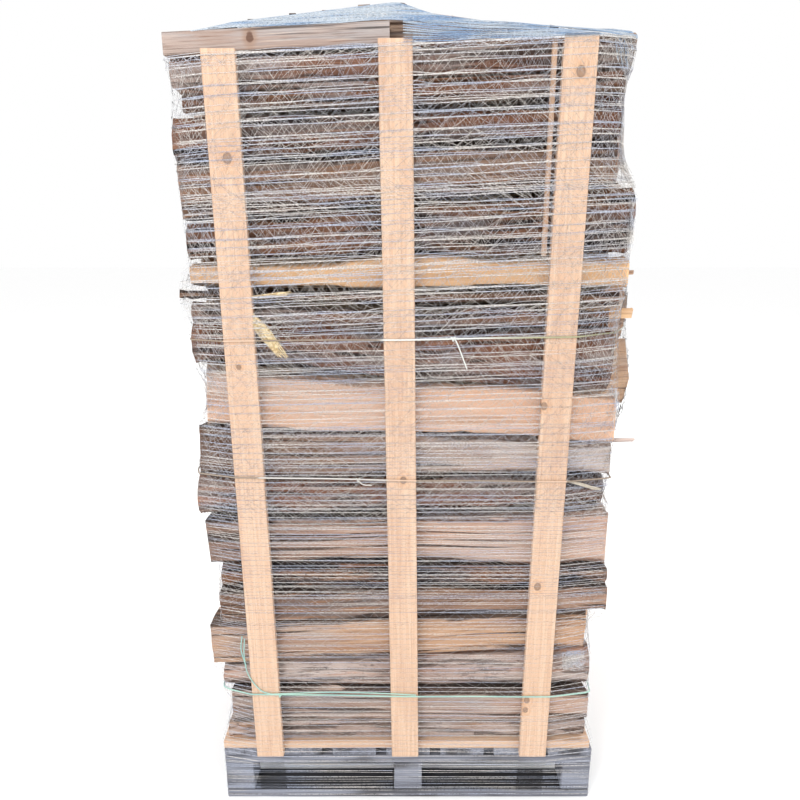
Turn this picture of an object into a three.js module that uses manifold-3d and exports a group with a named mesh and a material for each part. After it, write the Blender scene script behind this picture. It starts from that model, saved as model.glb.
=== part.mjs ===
// A pallet of split firewood: metre-long logs stacked crosswise on a pallet, held in front and
// behind by upright battens, tied with twine and wound in a net. Millimetres, +Z up, X along the
// logs, front towards -Y. The origin is the middle of the pallet's underside.
import * as THREE from 'three';
import { mergeVertices } from 'three/addons/utils/BufferGeometryUtils.js';
import Module from 'manifold-3d';

const wasm = await Module();
wasm.setup();

// Driving dimensions of the pallet, from the floor up
const PALLET_SIDE = 1000;
const BASE_BOARD = 25;
const BLOCK_HEIGHT = 88;
const BLOCK_SIDE = 78;
const STRINGER = 25;
const DECK_BOARD = 24;
const DECK_BOARD_WIDTH = 120;
const DECK_BOARDS = 7;
const DECK_TOP = BASE_BOARD + BLOCK_HEIGHT + STRINGER + DECK_BOARD;
const HALF = PALLET_SIDE / 2;

// Driving dimensions of the stack
const BEARER = { width: 68, height: 23.4, shortEnd: 8 };
const BATTEN = { width: 72, thickness: 18, bottom: 150 };
const NARROW_BATTEN = { x: 296, width: 11, thickness: 9, bottom: 1473, top: 1916 };
const COURSES = 13;
const COURSE_HEIGHT = 135.5;
const LOGS_PER_COURSE = 8;
const LOG_PITCH = 111;
const FRONT_COLUMN_Y = -445;
const FIRST_COLUMN_Y = -334;
const LEFT_END = -488;
const RIGHT_END = 482;
const CROWN = 18;

// A front log's round before it is split, as a share of the log's height and in millimetres at
// least, and how far its cuts may lean or lie back
const BARK_ROUND = { share: 0.58, least: 42 };
const SPLIT_ROUND = { share: 0.85, least: 78 };
const FRONT_CUTS = { depthSlope: 0.16, recess: 14, lean: 0.1, skew: 0.05, sides: 18, overrun: 40 };

// How far an inner log strays from its place in the course, and its round before it is split
const STRAY = { across: 9, up: 12, radius: 9, end: 24, longEnd: 3, skew: 0.06 };
const INNER_ROUND = { share: 0.66, pithShift: 55, sides: 14, overrun: 80 };
const ROOF = { rise: 0.38, slope: 0.35 };

// Clearances: between touching meshes, between neighbouring logs, and how far joined logs bite
const TOUCH = 0.3;
const LOG_GAP = 0.4;
const BITE = 1.2;
const NEIGHBOUR_REACH = 270;
const BEARER_TOP = DECK_TOP + BEARER.height + 2 * TOUCH;

// Net and twine
const NET = { turns: 13, bottom: 12, top: 1880, height: 12, thickness: 1.6, standOff: 0.8 };
const NET_OVERLAP = 0.6;
const STRANDS_OVER = { foot: 1725, acrossX: [-390, -28, 347], alongX: [-388, 210] };
const TWINE = { thickness: 3, standOff: 0.5 };

// Outlines drawn tight round the stack: the directions of their sides in degrees, and how near
// two corners may be before they count as one
const ROUND_ANGLES = [0, 3, 45, 87, 90, 93, 135, 177, 180, 183, 225, 267, 270, 273, 315, 357];
const OVER_ANGLES = [-3, 0, 3, 30, 60, 87, 90, 93, 120, 150, 177, 180, 183];
const SAME_CORNER = 0.5;
const SAME_POINT = 1e-3;

// The logs of the front column from the bottom up: the height of each one's upper side at its
// left and right end, its two ends along X, and whether bark or a split face looks forward
const FRONT_LOGS = [
  { top: [228, 247], ends: [-487, 480], face: 'bark' },
  { top: [352, 331], ends: [-470, 478], face: 'split' },
  { top: [421, 463], ends: [-490, 476], face: 'bark' },
  { top: [540, 573], ends: [-515, 459], face: 'split' },
  { top: [649, 661], ends: [-481, 508], face: 'split' },
  { top: [718, 702], ends: [-476, 500], face: 'bark' },
  { top: [831, 852], ends: [-501, 498], face: 'split' },
  { top: [947, 947], ends: [-520, 478], face: 'bark' },
  { top: [1074, 1034], ends: [-505, 487], face: 'split' },
  { top: [1210, 1149], ends: [-480, 488], face: 'split' },
  { top: [1312, 1303], ends: [-508, 479], face: 'bark' },
  { top: [1361, 1349], ends: [-499, 461], face: 'bark' },
  { top: [1394, 1396], ends: [-521, 477], face: 'split' },
  { top: [1460, 1478], ends: [-499, 494], face: 'split' },
  { top: [1548, 1632], ends: [-501, 496], face: 'bark' },
  { top: [1665, 1713], ends: [-503, 450], face: 'split' },
  { top: [1765, 1804], ends: [-514, 453], face: 'bark' },
  { top: [1818, 1860], ends: [-482, 452], face: 'bark' },
  { top: [1878, 1925], ends: [-506, 456], face: 'bark' },
];
const TOP_PIECE = { ends: [-512, -47], thickness: [35, 48], depth: 66, skewEnd: 4 };
const CROWN_LOG = { x: -22, radius: 34, ends: [-408, 330], sides: 16 };

// Logs of the column behind the front that stand out of the stack: course and right-hand end
const LONG_LOGS = { 6: 512, 7: 545, 8: 530, 10: 500 };

// Battens: the middle of the foot and of the head along X, and the height of the head
const BATTENS = [
  { name: 'left', foot: -371, head: -395, top: 1890 },
  { name: 'centre', foot: -8, head: -32, top: 1909 },
  { name: 'right', foot: 335, head: 348, top: 1918 },
];

// Twine ties: height in front, how far it rises from left to right, and the colour
const TWINES = [
  { name: 'twine_upper', height: 1290, rise: 14, colour: 0xd8dcc0 },
  { name: 'twine_middle', height: 950, rise: -12, colour: 0xe6e4d8 },
  { name: 'twine_lower', height: 346, rise: -8, colour: 0xa9d8b8 },
];

const finish = (colour, roughness) =>
  new THREE.MeshStandardMaterial({ color: colour, roughness, metalness: 0 });
const WEATHERED = finish(0x7c7f88, 0.9);
const FRESH_PINE = finish(0xe3bd8c, 0.75);
const SPLIT_WOOD = finish(0xc9a183, 0.85);
const BARK = finish(0x6b5140, 0.95);
const MIXED_LOGS = finish(0x97785f, 0.9);
const NET_WHITE = finish(0xd9dde2, 0.6);

// Repeatable pseudo-random numbers from 0 to 1
const MODULUS = 2147483647;
const MULTIPLIER = 16807;
let state = 2024;
function random() {
  state = (state * MULTIPLIER) % MODULUS;
  return state / MODULUS;
}
const spread = (reach) => (random() * 2 - 1) * reach;

const pile = new THREE.Group();
pile.name = 'firewood_pallet';

function addPiece(name, geometry, material) {
  const mesh = new THREE.Mesh(geometry, material);
  mesh.name = name;
  pile.add(mesh);
  return mesh;
}

// A box between two corners
function addBox(name, low, high, material) {
  const size = high.map((value, axis) => value - low[axis]);
  const mesh = addPiece(name, new THREE.BoxGeometry(...size), material);
  mesh.position.set(...low.map((value, axis) => value + size[axis] / 2));
  return mesh;
}

// A geometry as a manifold solid, and a solid as a geometry
function solidOf(geometry) {
  const plain = geometry.index ? geometry.toNonIndexed() : geometry.clone();
  plain.deleteAttribute('normal');
  plain.deleteAttribute('uv');
  const merged = mergeVertices(plain, SAME_POINT);
  return new wasm.Manifold(new wasm.Mesh({
    numProp: 3,
    vertProperties: merged.attributes.position.array,
    triVerts: new Uint32Array(merged.index.array),
  }));
}

function geometryOf(solid) {
  const mesh = solid.getMesh();
  const geometry = new THREE.BufferGeometry();
  const positions = new Float32Array(mesh.vertProperties);
  geometry.setAttribute('position', new THREE.BufferAttribute(positions, mesh.numProp));
  geometry.setIndex(new THREE.BufferAttribute(new Uint32Array(mesh.triVerts), 1));
  geometry.computeVertexNormals();
  return geometry;
}

// A round of wood from one point to another, with a radius at each end
function roundOfWood(from, to, fromRadius, toRadius, sides) {
  const axis = new THREE.Vector3().subVectors(to, from);
  const geometry = new THREE.CylinderGeometry(toRadius, fromRadius, axis.length(), sides, 1);
  const turn = new THREE.Quaternion()
    .setFromUnitVectors(new THREE.Vector3(0, 1, 0), axis.clone().normalize());
  geometry.applyQuaternion(turn);
  geometry.translate(...from.clone().add(to).multiplyScalar(0.5).toArray());
  return solidOf(geometry);
}

// Keeps the part of a solid on the side of a plane that its normal points away from
function cutAbove(solid, plane, clearance) {
  const length = Math.hypot(...plane.normal);
  const away = plane.normal.map((value) => -value / length);
  return solid.trimByPlane(away, -plane.offset / length + clearance);
}

const flipped = (plane) => ({ normal: plane.normal.map((v) => -v), offset: -plane.offset });

// The plane between two logs seen end on, nearer to the thinner one
function planeBetween(a, b) {
  const normal = [0, b.y - a.y, b.z - a.z];
  const squares = b.y ** 2 + b.z ** 2 - a.y ** 2 - a.z ** 2;
  return { normal, offset: (squares + a.radius ** 2 - b.radius ** 2) / 2 };
}

const nearEachOther = (a, b) => Math.hypot(a.y - b.y, a.z - b.z) < NEIGHBOUR_REACH;

// Saw cuts that aren't quite square to the log
function sawEnds(solid, log) {
  const [one, two] = log.skew;
  const right = { normal: [1, one, two], offset: log.ends[1] + one * log.y + two * log.z };
  const left = { normal: [-1, two, one], offset: -log.ends[0] + two * log.y + one * log.z };
  return cutAbove(cutAbove(solid, right, 0), left, 0);
}

// Where the logs lie. A front log's upper side is a plane with its own slope along X and in depth
function layOutFrontLogs() {
  let below = [BEARER_TOP, BEARER_TOP];
  return FRONT_LOGS.map((log, index) => {
    const heights = log.top.map((top, end) => top - below[end]);
    const middles = log.top.map((top, end) => (top + below[end]) / 2);
    const slope = (log.top[1] - log.top[0]) / PALLET_SIDE;
    const depthSlope = index < FRONT_LOGS.length - 1 ? spread(FRONT_CUTS.depthSlope) : 0;
    const level = (log.top[0] + log.top[1]) / 2;
    const upper = {
      normal: [-slope, -depthSlope, 1],
      offset: level - depthSlope * FRONT_COLUMN_Y,
    };
    below = log.top;
    return {
      ...log, index, heights, middles, upper,
      name: `front_log_${String(index + 1).padStart(2, '0')}`,
      recess: random() * FRONT_CUTS.recess,
      lean: spread(FRONT_CUTS.lean),
      skew: [spread(FRONT_CUTS.skew), spread(FRONT_CUTS.skew)],
      y: FRONT_COLUMN_Y,
      z: (middles[0] + middles[1]) / 2,
      radius: (heights[0] + heights[1]) / 4,
    };
  });
}

function layOutInnerLogs() {
  const logs = [];
  for (let course = 0; course < COURSES; course += 1) {
    const stagger = course % 2 ? -LOG_PITCH / 4 : LOG_PITCH / 4;
    for (let column = 0; column < LOGS_PER_COURSE; column += 1) {
      const arch = Math.sin((Math.PI * (column + 1)) / (LOGS_PER_COURSE + 1));
      const heaped = course === COURSES - 1 ? CROWN * arch : 0;
      const long = column === 0 && LONG_LOGS[course];
      logs.push({
        course,
        column,
        y: FIRST_COLUMN_Y + stagger + LOG_PITCH * column + spread(STRAY.across),
        z: DECK_TOP + COURSE_HEIGHT * (course + 0.5) + heaped + spread(STRAY.up),
        radius: LOG_PITCH / 2 + spread(STRAY.radius),
        barkSide: random() * 2 * Math.PI,
        pithShift: random() * INNER_ROUND.pithShift,
        ends: [
          LEFT_END + spread(STRAY.end),
          (long || RIGHT_END) + spread(long ? STRAY.longEnd : STRAY.end),
        ],
        roof: spread(ROOF.slope),
        skew: [spread(STRAY.skew), spread(STRAY.skew)],
      });
    }
  }
  return logs;
}

const frontLogs = layOutFrontLogs();
const innerLogs = layOutInnerLogs();

const FRONT_SHEET = { normal: [0, -1, 0], offset: HALF - TOUCH };
const BACK_SHEET = { normal: [0, 1, 0], offset: HALF - TOUCH };
const levelBelow = (height) => ({ normal: [0, 0, -1], offset: -height });

function cutFrontLog(log) {
  const bark = log.face === 'bark';
  const { share, least } = bark ? BARK_ROUND : SPLIT_ROUND;
  const radii = log.heights.map((height) => Math.max(share * height, least));
  const depths = radii.map((radius) => (bark ? -HALF + radius + log.recess : FRONT_COLUMN_Y));
  const { overrun, sides } = FRONT_CUTS;
  const tilt = (log.middles[1] - log.middles[0]) / PALLET_SIDE;
  const from = new THREE.Vector3(-HALF - overrun, depths[0], log.middles[0] - tilt * overrun);
  const to = new THREE.Vector3(HALF + overrun, depths[1], log.middles[1] + tilt * overrun);
  let solid = roundOfWood(from, to, radii[0], radii[1], sides);
  for (const other of frontLogs.slice(Math.max(0, log.index - 2), log.index)) {
    solid = cutAbove(solid, flipped(other.upper), LOG_GAP / 2);
  }
  for (const self of frontLogs.slice(log.index, log.index + 2)) {
    solid = cutAbove(solid, self.upper, LOG_GAP / 2);
  }
  if (!bark) {
    const leaning = { normal: [0, -1, log.lean], offset: HALF - log.recess + log.lean * log.z };
    solid = cutAbove(solid, leaning, 0);
  }
  for (const other of innerLogs.filter((inner) => nearEachOther(inner, log))) {
    solid = cutAbove(solid, planeBetween(log, other), LOG_GAP / 2);
  }
  solid = cutAbove(solid, FRONT_SHEET, 0);
  solid = cutAbove(solid, levelBelow(BEARER_TOP), 0);
  return sawEnds(solid, log);
}

function cutInnerLog(log) {
  const pithY = log.y + log.pithShift * Math.cos(log.barkSide);
  const pithZ = log.z + log.pithShift * Math.sin(log.barkSide);
  const radius = log.pithShift + INNER_ROUND.share * LOG_PITCH;
  const { overrun, sides } = INNER_ROUND;
  const from = new THREE.Vector3(-HALF - overrun, pithY, pithZ);
  const to = new THREE.Vector3(HALF + overrun, pithY, pithZ);
  let solid = roundOfWood(from, to, radius, radius, sides);
  for (const other of innerLogs) {
    if (other === log || !nearEachOther(other, log)) continue;
    const joined = other.course === log.course && Math.abs(other.column - log.column) === 1;
    solid = cutAbove(solid, planeBetween(log, other), joined ? -BITE : LOG_GAP / 2);
  }
  for (const other of frontLogs.filter((front) => nearEachOther(front, log))) {
    solid = cutAbove(solid, planeBetween(log, other), LOG_GAP / 2);
  }
  if (log.course === COURSES - 1) {
    const height = log.z + ROOF.rise * COURSE_HEIGHT;
    solid = cutAbove(solid, { normal: [0, log.roof, 1], offset: height + log.roof * log.y }, 0);
  }
  const onBearer = log.column === LOGS_PER_COURSE - 1;
  solid = cutAbove(solid, levelBelow(onBearer ? BEARER_TOP : DECK_TOP + 2 * TOUCH), 0);
  solid = cutAbove(solid, BACK_SHEET, 0);
  return sawEnds(solid, log);
}

// The pallet: boards under three rows of blocks, stringers along X and a deck along Y
function addPallet() {
  const rows = [['front', -1], ['middle', 0], ['back', 1]];
  const columns = [['left', -1], ['centre', 0], ['right', 1]];
  const reach = HALF - BLOCK_SIDE / 2;
  const blockFoot = BASE_BOARD + TOUCH;
  const blockHead = BASE_BOARD + BLOCK_HEIGHT;
  for (const [row, side] of rows) {
    const low = [-HALF, side * reach - BLOCK_SIDE / 2, 0];
    const high = [HALF, side * reach + BLOCK_SIDE / 2, BASE_BOARD];
    addBox(`pallet_base_board_${row}`, low, high, WEATHERED);
    for (const [column, place] of columns) {
      const corner = [place * reach - BLOCK_SIDE / 2, low[1], blockFoot];
      const opposite = [place * reach + BLOCK_SIDE / 2, high[1], blockHead];
      addBox(`pallet_block_${row}_${column}`, corner, opposite, WEATHERED);
    }
  }
  addPiece('pallet_deck', deckGeometry(rows, reach), WEATHERED);
}

// Seven deck boards nailed across three stringers
function deckGeometry(rows, reach) {
  const low = BASE_BOARD + BLOCK_HEIGHT + TOUCH;
  const boards = rows.map(([, side]) => {
    const stringer = new THREE.BoxGeometry(PALLET_SIDE, BLOCK_SIDE, STRINGER);
    return stringer.translate(0, side * reach, low + STRINGER / 2);
  });
  const pitch = (PALLET_SIDE - DECK_BOARD_WIDTH) / (DECK_BOARDS - 1);
  for (let board = 0; board < DECK_BOARDS; board += 1) {
    const deck = new THREE.BoxGeometry(DECK_BOARD_WIDTH, PALLET_SIDE, DECK_BOARD);
    const x = -HALF + DECK_BOARD_WIDTH / 2 + pitch * board;
    boards.push(deck.translate(x, 0, DECK_TOP - DECK_BOARD / 2));
  }
  return geometryOf(boards.map(solidOf).reduce((joined, board) => joined.add(board)));
}

// Boards laid on the deck along its front and back edges, under the outer logs
function addBearers() {
  const low = DECK_TOP + TOUCH;
  const high = low + BEARER.height;
  const right = HALF - BEARER.shortEnd;
  addBox('bearer_front', [-HALF, -HALF, low], [right, -HALF + BEARER.width, high], FRESH_PINE);
  addBox('bearer_back', [-HALF, HALF - BEARER.width, low], [HALF, HALF, high], FRESH_PINE);
}

// Upright battens, each leaning a little from its foot to its head
function addBatten(name, batten, faceY) {
  const height = batten.top - BATTEN.bottom;
  const lean = batten.head - batten.foot;
  const outline = new THREE.Shape([
    new THREE.Vector2(-BATTEN.width / 2, 0),
    new THREE.Vector2(BATTEN.width / 2, 0),
    new THREE.Vector2(BATTEN.width / 2 + lean, height),
    new THREE.Vector2(-BATTEN.width / 2 + lean, height),
  ]);
  const settings = { depth: BATTEN.thickness, bevelEnabled: false };
  const geometry = new THREE.ExtrudeGeometry(outline, settings);
  const mesh = addPiece(name, geometry, FRESH_PINE);
  mesh.rotation.x = Math.PI / 2;
  mesh.position.set(batten.foot, faceY, BATTEN.bottom);
}

function addBattens() {
  for (const batten of BATTENS) {
    addBatten(`batten_front_${batten.name}`, batten, -HALF - TOUCH);
    addBatten(`batten_back_${batten.name}`, batten, HALF + TOUCH + BATTEN.thickness);
  }
  const { x, width, thickness, bottom, top } = NARROW_BATTEN;
  const back = -HALF - TOUCH;
  addBox('batten_front_narrow', [x - width / 2, back - thickness, bottom],
    [x + width / 2, back, top], FRESH_PINE);
}

function addLogs() {
  for (const log of frontLogs) {
    addPiece(log.name, geometryOf(cutFrontLog(log)), log.face === 'bark' ? BARK : SPLIT_WOOD);
  }
  for (let course = 0; course < COURSES; course += 1) {
    const solids = innerLogs.filter((log) => log.course === course).map(cutInnerLog);
    const joined = solids.reduce((sum, solid) => sum.add(solid));
    const name = `inner_course_${String(course + 1).padStart(2, '0')}`;
    addPiece(name, geometryOf(joined), MIXED_LOGS);
  }
}

// A short split piece on the left of the top, and a round laid across the crown of the stack
function addTopPieces() {
  const under = frontLogs[frontLogs.length - 1].upper;
  const slope = -under.normal[0];
  const [left, right] = TOP_PIECE.ends;
  const seat = (x) => under.offset + slope * x - under.normal[1] * (-HALF) + 2 * LOG_GAP;
  const outline = new THREE.Shape([
    new THREE.Vector2(left, seat(left)),
    new THREE.Vector2(right, seat(right)),
    new THREE.Vector2(right + TOP_PIECE.skewEnd, seat(right) + TOP_PIECE.thickness[1]),
    new THREE.Vector2(left, seat(left) + TOP_PIECE.thickness[0]),
  ]);
  const settings = { depth: TOP_PIECE.depth, bevelEnabled: false };
  const piece = addPiece('top_piece_left', new THREE.ExtrudeGeometry(outline, settings), SPLIT_WOOD);
  piece.rotation.x = Math.PI / 2;
  piece.position.y = -HALF + TOP_PIECE.depth + TOUCH;

  const crown = new THREE.Box3();
  pile.updateMatrixWorld(true);
  crown.setFromObject(pile.getObjectByName(`inner_course_${COURSES}`));
  const z = crown.max.z + CROWN_LOG.radius + TOUCH;
  const from = new THREE.Vector3(CROWN_LOG.x, CROWN_LOG.ends[0], z);
  const to = new THREE.Vector3(CROWN_LOG.x, CROWN_LOG.ends[1], z);
  const round = roundOfWood(from, to, CROWN_LOG.radius, CROWN_LOG.radius, CROWN_LOG.sides);
  addPiece('crown_log', geometryOf(round), BARK);
}

// Every point where the sides of the triangles built so far cross or lie in a range of one axis
function pointsBetween(axis, low, high) {
  const points = [];
  const corner = [new THREE.Vector3(), new THREE.Vector3(), new THREE.Vector3()];
  pile.updateMatrixWorld(true);
  for (const mesh of pile.children) {
    const geometry = mesh.geometry.index ? mesh.geometry.toNonIndexed() : mesh.geometry;
    const position = geometry.attributes.position;
    for (let face = 0; face < position.count; face += 3) {
      corner.forEach((point, turn) => {
        point.fromBufferAttribute(position, face + turn).applyMatrix4(mesh.matrixWorld);
      });
      corner.forEach((point, turn) => {
        addSideBetween(points, point, corner[(turn + 1) % 3], axis, low, high);
      });
    }
  }
  return points;
}

function addSideBetween(points, start, end, axis, low, high) {
  if (start[axis] >= low && start[axis] <= high) points.push(start.clone());
  for (const level of [low, high]) {
    if ((start[axis] - level) * (end[axis] - level) >= 0) continue;
    const share = (level - start[axis]) / (end[axis] - start[axis]);
    points.push(start.clone().lerp(end, share));
  }
}

// A tight outline round points seen along an axis: one side for each of a few directions, with
// the corners where neighbouring sides meet, moved outwards by a stand-off
function tightOutline(points, across, up, angles, standOff) {
  const sides = angles.map((degrees) => {
    const angle = THREE.MathUtils.degToRad(degrees);
    const out = [Math.cos(angle), Math.sin(angle)];
    let reach = -Infinity;
    for (const point of points) {
      reach = Math.max(reach, point[across] * out[0] + point[up] * out[1]);
    }
    return { out, reach: reach + standOff };
  });
  const corners = [];
  const nextSides = angles[0] < 0 ? sides.slice(1) : [...sides.slice(1), sides[0]];
  nextSides.forEach((next, index) => {
    const side = sides[index];
    const turn = side.out[0] * next.out[1] - side.out[1] * next.out[0];
    const at = [
      (side.reach * next.out[1] - next.reach * side.out[1]) / turn,
      (next.reach * side.out[0] - side.reach * next.out[0]) / turn,
    ];
    const out = [side.out[0] + next.out[0], side.out[1] + next.out[1]];
    const length = Math.hypot(...out);
    const before = corners.at(-1);
    if (before && Math.hypot(before.at[0] - at[0], before.at[1] - at[1]) < SAME_CORNER) return;
    corners.push({ at, out: out.map((value) => value / length) });
  });
  return corners;
}

// A band with a rectangular section, through a list of four-cornered sections
function bandGeometry(sections, closed) {
  const positions = sections.flat(2);
  const index = [];
  const segments = closed ? sections.length : sections.length - 1;
  for (let segment = 0; segment < segments; segment += 1) {
    const a = segment * 4;
    const b = ((segment + 1) % sections.length) * 4;
    for (let side = 0; side < 4; side += 1) {
      const next = (side + 1) % 4;
      index.push(a + side, b + side, b + next, a + side, b + next, a + next);
    }
  }
  if (!closed) {
    const last = (sections.length - 1) * 4;
    index.push(0, 1, 2, 0, 2, 3);
    index.push(last, last + 2, last + 1, last, last + 3, last + 2);
  }
  const geometry = new THREE.BufferGeometry();
  geometry.setAttribute('position', new THREE.Float32BufferAttribute(positions, 3));
  geometry.setIndex(index);
  geometry.computeVertexNormals();
  return geometry;
}

// The section of a level band at one corner of an outline
function levelSection({ at, out, z }, height, thickness) {
  const outer = [at[0] + out[0] * thickness, at[1] + out[1] * thickness];
  return [[...at, z], [...outer, z], [...outer, z + height], [...at, z + height]];
}

// How far round the stack a place is, from 0 to 1, starting in the middle of the back
function shareOfTurn([x, y]) {
  const fromFront = Math.atan2(x, -y) / (2 * Math.PI);
  return (fromFront + 1.5) % 1;
}

// The net's threads round the stack, as one band that climbs from the pallet to the top
function netSpiral() {
  const climb = (NET.top - NET.bottom) / NET.turns;
  const sections = [];
  for (let turn = 0; turn < NET.turns; turn += 1) {
    const low = NET.bottom + climb * turn;
    const margin = climb * NET_OVERLAP;
    const points = pointsBetween('z', low - margin, low + climb + margin + NET.height);
    const corners = tightOutline(points, 'x', 'y', ROUND_ANGLES, NET.standOff);
    corners.sort((a, b) => shareOfTurn(a.at) - shareOfTurn(b.at));
    for (const corner of corners) {
      const z = low + climb * shareOfTurn(corner.at);
      sections.push(levelSection({ ...corner, z }, NET.height, NET.thickness));
    }
  }
  return bandGeometry(sections, false);
}

// A strand of the net drawn over the top of the stack, in a slice of it along one axis
function netStrandOver(slice, middle) {
  const half = NET.height / 2;
  const across = slice === 'x' ? 'y' : 'x';
  const points = [
    ...pointsBetween(slice, middle - half, middle + half),
    ...pointsBetween('z', STRANDS_OVER.foot - half, STRANDS_OVER.foot + half),
  ].filter((point) => point.z > STRANDS_OVER.foot);
  const sections = tightOutline(points, across, 'z', OVER_ANGLES, NET.standOff)
    .map(({ at, out }) => {
      const outer = [at[0] + out[0] * NET.thickness, at[1] + out[1] * NET.thickness];
      const place = ([flat, z], side) => (slice === 'x' ? [side, flat, z] : [flat, side, z]);
      const near = slice === 'x' ? middle - half : middle + half;
      const far = slice === 'x' ? middle + half : middle - half;
      return [place(at, near), place(outer, near), place(outer, far), place(at, far)];
    });
  return bandGeometry(sections, false);
}

function netGeometry() {
  const strands = [
    ...STRANDS_OVER.acrossX.map((x) => netStrandOver('x', x)),
    ...STRANDS_OVER.alongX.map((y) => netStrandOver('y', y)),
  ];
  const spiral = solidOf(netSpiral());
  return geometryOf(strands.map(solidOf).reduce((net, strand) => net.add(strand), spiral));
}

function twineGeometry(twine) {
  const margin = Math.abs(twine.rise) + TWINE.thickness;
  const points = pointsBetween('z', twine.height - margin, twine.height + margin);
  const sections = tightOutline(points, 'x', 'y', ROUND_ANGLES, TWINE.standOff).map((corner) => {
    const z = twine.height + (twine.rise * corner.at[0]) / PALLET_SIDE;
    return levelSection({ ...corner, z }, TWINE.thickness, TWINE.thickness);
  });
  return bandGeometry(sections, true);
}

addPallet();
addBearers();
addLogs();
addTopPieces();
addBattens();
addPiece('net', netGeometry(), NET_WHITE);
TWINES.forEach((twine) => addPiece(twine.name, twineGeometry(twine), finish(twine.colour, 0.6)));

export default pile;
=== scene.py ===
# %% [markdown]
# A pallet of split firewood, held by battens, tied with twine and wound in a net.
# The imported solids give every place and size. This script dresses them: logs with bark, split
# faces and sawn ends, sawn boards, twisted twine and the fine threads of the net.
# Blender measures in metres. X runs along the logs, the front looks towards -Y, and Z is up.

import math

import bmesh
import bpy
import numpy as np
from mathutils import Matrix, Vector


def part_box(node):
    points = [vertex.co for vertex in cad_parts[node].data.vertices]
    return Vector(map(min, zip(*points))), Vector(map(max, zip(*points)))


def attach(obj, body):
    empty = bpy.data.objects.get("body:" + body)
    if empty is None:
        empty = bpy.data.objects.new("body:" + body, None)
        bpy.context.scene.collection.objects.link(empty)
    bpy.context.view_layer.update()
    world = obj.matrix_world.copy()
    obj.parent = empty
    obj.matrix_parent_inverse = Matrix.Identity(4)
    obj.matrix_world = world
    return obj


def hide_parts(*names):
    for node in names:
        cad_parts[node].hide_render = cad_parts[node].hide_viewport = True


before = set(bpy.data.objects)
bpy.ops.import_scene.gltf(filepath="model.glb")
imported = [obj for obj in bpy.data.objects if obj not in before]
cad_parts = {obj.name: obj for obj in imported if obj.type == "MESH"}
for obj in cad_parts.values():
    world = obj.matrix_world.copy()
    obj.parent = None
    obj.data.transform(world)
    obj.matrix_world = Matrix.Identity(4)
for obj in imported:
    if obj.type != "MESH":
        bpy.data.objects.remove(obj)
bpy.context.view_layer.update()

# %% [markdown]
# The camera stands in front of the stack, a little left of its middle, at eye height, and looks
# down fifteen degrees. That tilt is what makes the stack look narrower at its foot.

# %% Camera
camera_data = bpy.data.cameras.new("camera")
camera_data.lens = 30.74
camera_data.sensor_width = 36.0
camera = bpy.data.objects.new("camera", camera_data)
camera.location = (-0.022, -2.048, 1.557)
camera.rotation_euler = (math.radians(90 - 15), 0.0, 0.0)
bpy.context.scene.collection.objects.link(camera)
bpy.context.scene.camera = camera
print("camera at", tuple(camera.location))

# %% [markdown]
# The light is that of a bright overcast day: a pale sky all round, one large soft lamp high in
# front on the left and a weaker one on the right, so the gaps between the logs stay dark.

# %% Light and floor
def soft_lamp(name, place, aim, side, watts):
    data = bpy.data.lights.new(name, "AREA")
    data.shape = "SQUARE"
    data.size = side
    data.energy = watts
    lamp = bpy.data.objects.new(name, data)
    lamp.location = place
    lamp.rotation_euler = (Vector(aim) - Vector(place)).to_track_quat("-Z", "Y").to_euler()
    bpy.context.scene.collection.objects.link(lamp)
    return lamp


STACK_MIDDLE = (0.0, 0.0, 1.0)
soft_lamp("key_light", (-2.6, -4.2, 4.4), STACK_MIDDLE, 2.4, 200)
soft_lamp("fill_light", (3.4, -3.4, 2.6), STACK_MIDDLE, 3.0, 40)
soft_lamp("back_light", (1.5, 4.5, 3.5), STACK_MIDDLE, 3.0, 130)

world = bpy.data.worlds.new("overcast")
world.use_nodes = True
world.node_tree.nodes["Background"].inputs["Color"].default_value = (1.0, 1.0, 1.0, 1.0)
world.node_tree.nodes["Background"].inputs["Strength"].default_value = 1.0
bpy.context.scene.world = world
bpy.context.scene.view_settings.view_transform = "Standard"

FLOOR_SIDE = 40.0
bpy.ops.object.select_all(action="DESELECT")
bpy.ops.mesh.primitive_plane_add(size=FLOOR_SIDE, location=(0, 0, -0.0005))
floor = bpy.context.object
floor.name = "floor"
print("floor side", FLOOR_SIDE)

# %% [markdown]
# Materials are small programs made of nodes. Linking dozens of nodes by hand hides the idea, so a
# wire here is a number, colour or vector on its way through the tree: adding or multiplying two
# wires adds the Math node that does it.

# %% A small language for materials
class Wire:
    """The output socket of a node, with arithmetic that adds Math nodes."""

    def __init__(self, paint, socket):
        self.paint = paint
        self.socket = socket

    def math(self, operation, *others):
        values = {index: other for index, other in enumerate((self, *others))}
        return self.paint.node("ShaderNodeMath", {"operation": operation}, values)

    def __add__(self, other):
        return self.math("ADD", other)

    def __sub__(self, other):
        return self.math("SUBTRACT", other)

    def __mul__(self, other):
        return self.math("MULTIPLY", other)

    def __truediv__(self, other):
        return self.math("DIVIDE", other)

    def __rsub__(self, other):
        return (self * -1.0) + other

    __radd__ = __add__
    __rmul__ = __mul__

    def ramp(self, low, high):
        """0 below low, 1 above high, and smooth between."""
        settings = {"interpolation_type": "SMOOTHSTEP"}
        values = {0: self, 1: low, 2: high, 3: 0.0, 4: 1.0}
        return self.paint.node("ShaderNodeMapRange", settings, values)


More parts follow.
